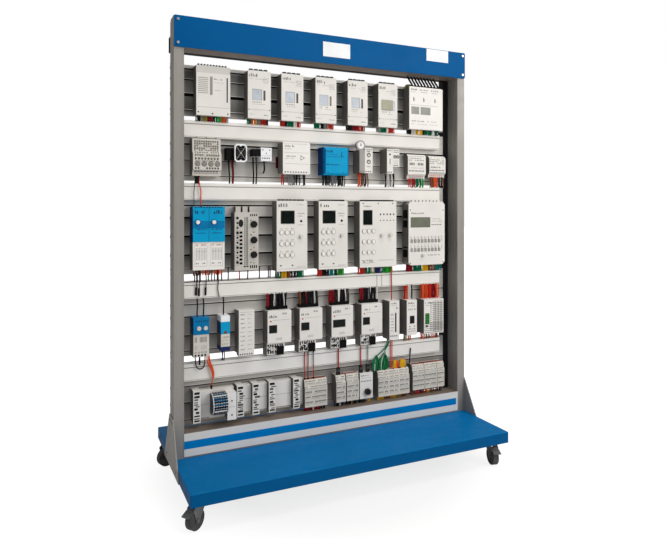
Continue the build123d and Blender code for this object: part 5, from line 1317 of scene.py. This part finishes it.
def dress_row_5():
    g = "row5"
    for i, left in enumerate((-618, -437, -370, -298, -187)):
        f = Face(g, left, 399)
        rng = random.Random(i + 300)
        f.plate("mark", 4, 5, 22, 10, 0.4)
        at = 20
        while at < 112:
            tall = rng.choice((4, 6, 9))
            key = rng.choice(("mark", "mark", "mark_mid"))
            f.plate(key, 4 + rng.choice((0, 0, 6)), at, rng.choice((22, 14, 16)), tall, 0.35)
            at += tall + rng.choice((3, 4, 6))
        f.plate("mark", 4, 118, 22, 7, 0.4)
    for x0, x1 in ((-588, -548), (-407, -371), (-340, -300), (-268, -190), (-157, -135)):
        f = Face(g, x0, 393)
        f.plate("mark_soft", 1, 58, x1 - x0 - 2, 1.6, 0.5)
        f.plate("mid", 1, 112, x1 - x0 - 2, 4, 0.4)
    blocks = (
        (-132, 107, 384), (20, 47, 386), (72, 62, 386), (235, 56, 382), (293, 54, 382), (349, 54, 382),
        (422, 66, 390), (490, 70, 390), (562, 41, 390),
    )
    for seed, (left, width, high) in enumerate(blocks, 1):
        block_marks(g, left, width, high, seed)
    f = Face(g, 138, 383)
    f.words("mark_mid", 6, 8, 40, 6, 200)
    f.words("mark_soft", 6, 20, 50, 4, 201)
    f.row("mark", 6, 34, 54, 5, 7, 0.5)
    f.ring("mark_mid", 37.5, 85, 17, 15.5, 0.4)
    for k in range(11):
        a = math.radians(-50 + 28 * k)
        f.dot("mark", 37.5 + 20 * math.cos(a), 85 - 20 * math.sin(a), 1.0, 0.3, 8)
    barrel = Piece("plug_barrel", "barrel", "rack")
    profile = ((-0.2, 36), (0.6, 43.4), (3, 44.3), (60, 44.3), (61.6, 43.4))
    lathe(barrel, (-545, BARREL_Y, BARREL_Z), (1, 0, 0), profile, 96, flutes=24, depth=0.35)
    barrel.done(True)
    for x in (-538, -528, -518, -508, -498):
        rib = ((0, 44.3), (0.5, 44.9), (2.4, 44.9), (2.9, 44.3))
        lathe(ink(g, "dark"), (x, BARREL_Y, BARREL_Z), (1, 0, 0), rib, 72)
    # Painted highlights and reflections: lengthwise strips along the barrel, lighter blue on its lit side and
    # pale streaks
    for angle, key in ((62, "pale"), (118, "barrel_light"), (132, "barrel_light"), (146, "pale"),
                       (158, "barrel_light"), (98, "barrel_light")):
        a = math.radians(angle)
        y = BARREL_Y - 46 * math.sin(a)
        z = BARREL_Z - 44.5 * math.cos(a)
        ink(g, key).box(-541, -489, y - 1.6, y + 1.2, z - 2.0, z + 2.0)
    f = Face(g, -483, 381)
    f.dot("mark", 19, 34, 3.4, 0.8)
    f.dot("mark", 19, 92, 3.4, 0.8)
    f.plate("mark_soft", 5, 58, 28, 1.4)
    strand("crimson", [(-128, 4, 385), (-90, 2, 388), (-50, 3, 387), (-28, 8, 385)], 1.6)
    strand("brown", [(-130, 10, 386), (-88, 8, 389), (-52, 7, 388), (-27, 12, 386)], 1.8)
    strand("crimson", [(22, 8, 387), (50, 5, 390), (90, 6, 389), (132, 10, 387)], 1.8)
    strand("crimson", [(424, 6, 391), (470, 3, 393), (520, 4, 392), (600, 8, 391)], 1.7)
    strand("brown", [(426, 12, 391), (480, 9, 394), (540, 9, 393), (598, 14, 391)], 1.8)
    combs = (
        (-130, 104, 266, "crimson 3, pale 1, crimson 2, black 2"),
        (22, 44, 268, "black 2, pale 1, black 1"),
        (74, 58, 268, "black 3, yellow 1, black 2"),
        (140, 62, 268, "black 2, gap 1, yellow 1"),
        (237, 164, 264, "yellow 3, brown 2, yellow 2, olive 2, brown 2"),
        (424, 62, 272, "brown 2, red 2, black 1"),
        (492, 66, 272, "red 2, yellow 1, brown 2"),
        (564, 37, 272, "brown 1, black 2"),
    )
    for i, (left, width, high, bands) in enumerate(combs):
        loom(left, left + width, high, 243, 12, bands, seed=i + 130, radius=2.5, sway=3)


# Plugged leads


def plug(x, z, key, band):
    """A moulded plug standing on a block: a waisted body with grips and a collar for the wire."""
    body = Piece("plug_%d" % round(x), key)
    rows = ((0, 9.6, 4.4), (3, 10, 4.6), (12, 10, 4.6), (15, 8.6, 4.2), (24, 8.6, 4.2), (28, 10, 4.5),
            (33, 7.5, 4.0), (37.5, 4.0, 3.4))
    rings = []
    for up, half, deep in rows:
        ring = []
        for k in range(16):
            a = 2 * math.pi * k / 16
            c, s = math.cos(a), math.sin(a)
            across = half * math.copysign(abs(c) ** 0.5, c)
            through = deep * math.copysign(abs(s) ** 0.5, s)
            ring.append((x + across, 4.5 + through, z + up))
        rings.append(ring)
    body.face_ring(rings)
    body.done(True)
    for up in (17, 20, 23):
        ink("plugs", band).box(x - 7, x + 7, -0.5, 0.6, z + up - 0.7, z + up + 0.7)


def dress_tufts():
    """The bunched green and yellow wires standing on the blocks under the slim modules."""
    rng = random.Random(9)
    for low_x, high_x, base, tall in ((226, 232, 14, 66), (262, 272, 17, 72), (282, 284, 10, 60)):
        for k in range(9):
            side = (k - 4) / 4
            key = ("green", "bright", "green", "pale", "dgreen", "green", "bright", "green", "dgreen")[k]
            x = low_x + side * base * 0.4
            strand(key, [(x, 6, BLOCK_TOP),
                         (low_x + side * base * 1.25, rng.uniform(-4, 4), BLOCK_TOP + tall * 0.3),
                         (low_x + side * base * 1.1, rng.uniform(-4, 4), BLOCK_TOP + tall * 0.7),
                         (high_x + side * 3, 4, BLOCK_TOP + tall + rng.uniform(0, 8))], 2.2)
    short = ((331, 40, "yellow"), (345, 36, "orange"), (367, 42, "yellow"), (381, 38, "yellow"))
    for centre, tall, key in short:
        for side in (-1, 0, 1):
            strand(key, [(centre + side * 5, 5, BLOCK_TOP), (centre + side * 9, 2, 394),
                         (centre + side * 3, 2, BLOCK_TOP + tall)], 3.2)
    for x in (308, 316):
        strand("orange", [(x, 4, 530), (x + 1, 3, 480), (x, 4, 384)], 2.0)
    strand("black", [(420, 6, 470), (414, 2, 430), (412, 6, 390)], 3.0)


def dress_plug_leads():
    for x, key, key_low in ((-128, "red", "red"), (-112, "crimson", "crimson"), (-86, "grey", "red")):
        strand(key, [(x, LEAD_Y, LEAD_TOP), (x + 0.5, 2.2, 470), (x, LEAD_Y, 446)], 2.3)
        strand(key_low, [(x, LEAD_Y, 447), (x - 0.5, 2.2, 420), (x, LEAD_Y, 384)], 2.3)
        for z in (386, 503):
            ink("plugs", "dark").tube([(x, LEAD_Y, z - 2), (x, LEAD_Y, z + 6)], 3.1, 12)
    plug(36, 386, "knob", "mark_mid")
    plug(150, 383, "knob", "mark_mid")
    plug(186, 383, "knob", "mark_mid")
    strand("red", [(36, LEAD_Y, LEAD_TOP), (36.5, 2.2, 470), (36, LEAD_Y, 421)], 3.2)
    strand("red", [(150, LEAD_Y, LEAD_TOP), (149, 2.2, 470), (150, LEAD_Y, 418)], 2.8)
    strand("grey", [(186, LEAD_Y, LEAD_TOP), (187, 2.0, 470), (186, LEAD_Y, 418)], 2.4)
    strand("red", [(312.5, LEAD_Y, 707), (313, 2.0, 780), (312.5, LEAD_Y, 868)], 2.4)
    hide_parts("plug_leads")


# Rear, casters and header


def dress_panels():
    """Dark strips painted as shade on the floor and walls of each slot in the wall, a pale strip painted as a
    highlight just above each slot, and the lines on the ducts, one of them a painted shadow along the top of
    the duct at 839.
    """
    slot_painted_highlight = ink("panel", "duct")
    rows = (
        (1709, 6), (1665, 5), (1603, 13), (1540, 3), (1401, 7), (1335, 4), (1271, 4), (1149, 6), (1099, 8),
        (1022, 8), (945, 8), (889, 3), (742, 5), (692, 6), (615, 6), (552, 4), (407, 5), (340, 6), (270, 4),
    )
    for z, width in rows:
        # Painted shade: dark strips on the floor and the upper and lower walls of each slot
        slot_painted_shade = ink("panel", "slot" if z > 880 and z != 1335 and z != 1271 else "mark_mid")
        slot_painted_shade.box(SLAT_LEFT, SLAT_RIGHT, WALL + 7.6, WALL + 8.1, z - width / 2 + 0.1, z + width / 2 - 0.1)
        slot_painted_shade.box(SLAT_LEFT, SLAT_RIGHT, WALL + 0.6, WALL + 7.8, z + width / 2 - 0.35, z + width / 2 - 0.05)
        slot_painted_shade.box(SLAT_LEFT, SLAT_RIGHT, WALL + 0.6, WALL + 7.8, z - width / 2 + 0.05, z - width / 2 + 0.35)
        # Painted highlight: a pale strip on the wall just above each slot
        slot_painted_highlight.box(SLAT_LEFT, SLAT_RIGHT, WALL - 0.6, WALL + 0.1, z + width / 2 + 0.4, z + width / 2 + 2.2)
    line = ink("duct", "duct_line")
    # Painted shadow: a dark line along the front of the top edge of the duct at 839
    ink("duct", "mark").box(DUCT_LEFT, DUCT_RIGHT, 7.0, 7.7, 836.4, 839.2)
    for x in (237, 263):
        ink("duct", "mark").box(x, x + 1.6, 8.3, 9.2, 771, 826)
    for top in DUCT_TOPS:
        line.box(DUCT_LEFT, DUCT_RIGHT, 8.4, 9.2, top - 15.5, top - 13.0)
        line.box(DUCT_LEFT, DUCT_RIGHT, 8.7, 9.2, top - 66, top - 64.6)


def dress_header():
    plates = Piece("header_labels", "label", bevel=0.4)
    plates.front(-61, 132, 1803, 64, -46, 0.9)
    plates.front(476, 124, 1839, 57, -46, 0.9)
    plates.done()


def dress_casters():
    """A pale ring on each side of the four wheels."""
    profile = ((0, 24), (0.3, 23.4), (0.3, 20.4), (0, 20))
    for name in CASTERS:
        centre, axis = joint_place(name + "_wheel_spin")
        ring = Piece(name + "_tread", "wheel_core", name + "_wheel_body")
        for side in (-1, 1):
            lathe(ring, centre + axis * side * 10.6, axis * side, profile, 48)
        ring.done(True)


# Ends of the leads


def dress_ends():
    ends = ((-592, 1269, 2.4), (-585, 1144, 2.4), (-608, 1269, 1.6), (-612, 1144, 1.6), (-607, 538, 2.4),
            (-567, 538, 2.4), (-560, 538, 2.4))
    for x, z, radius in ends:
        down = 1 if z == 1144 else -1
        ink("ends", "dark").tube([(x, LEAD_Y, z), (x, LEAD_Y, z + down * 4)], radius + 1.6, 12)
        ink("ends", "mark_mid").tube([(x, LEAD_Y, z + down * 4), (x, LEAD_Y, z + down * 7)], radius + 0.9, 12)
    for x in (291, 299):
        ink("ends", "dark").tube([(x, LEAD_Y, 526), (x, LEAD_Y, 520)], 3.6, 12)
    ink("ends", "dark").tube([(-538, 15, 393), (-538, 15, 409)], 4.2, 12)
    for x in (240, 276, 323, 352, 359, 388):
        ink("ends", "dark").tube([(x, LEAD_Y, BLOCK_TOP), (x, LEAD_Y, BLOCK_TOP + 5)], 3.4, 12)


for dress in (dress_row_1, dress_row_2, dress_row_3, dress_row_4, dress_row_5, dress_panels, dress_header,
              dress_casters, dress_ends, dress_tufts, dress_plug_leads):
    dress()
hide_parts("wire_looms")
for item in STRANDS.values():
    bpy.context.scene.collection.objects.link(item)
    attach(item, "rack")
for item in INK.values():
    item.done()


# Output

bpy.context.scene.view_settings.view_transform = "Standard"
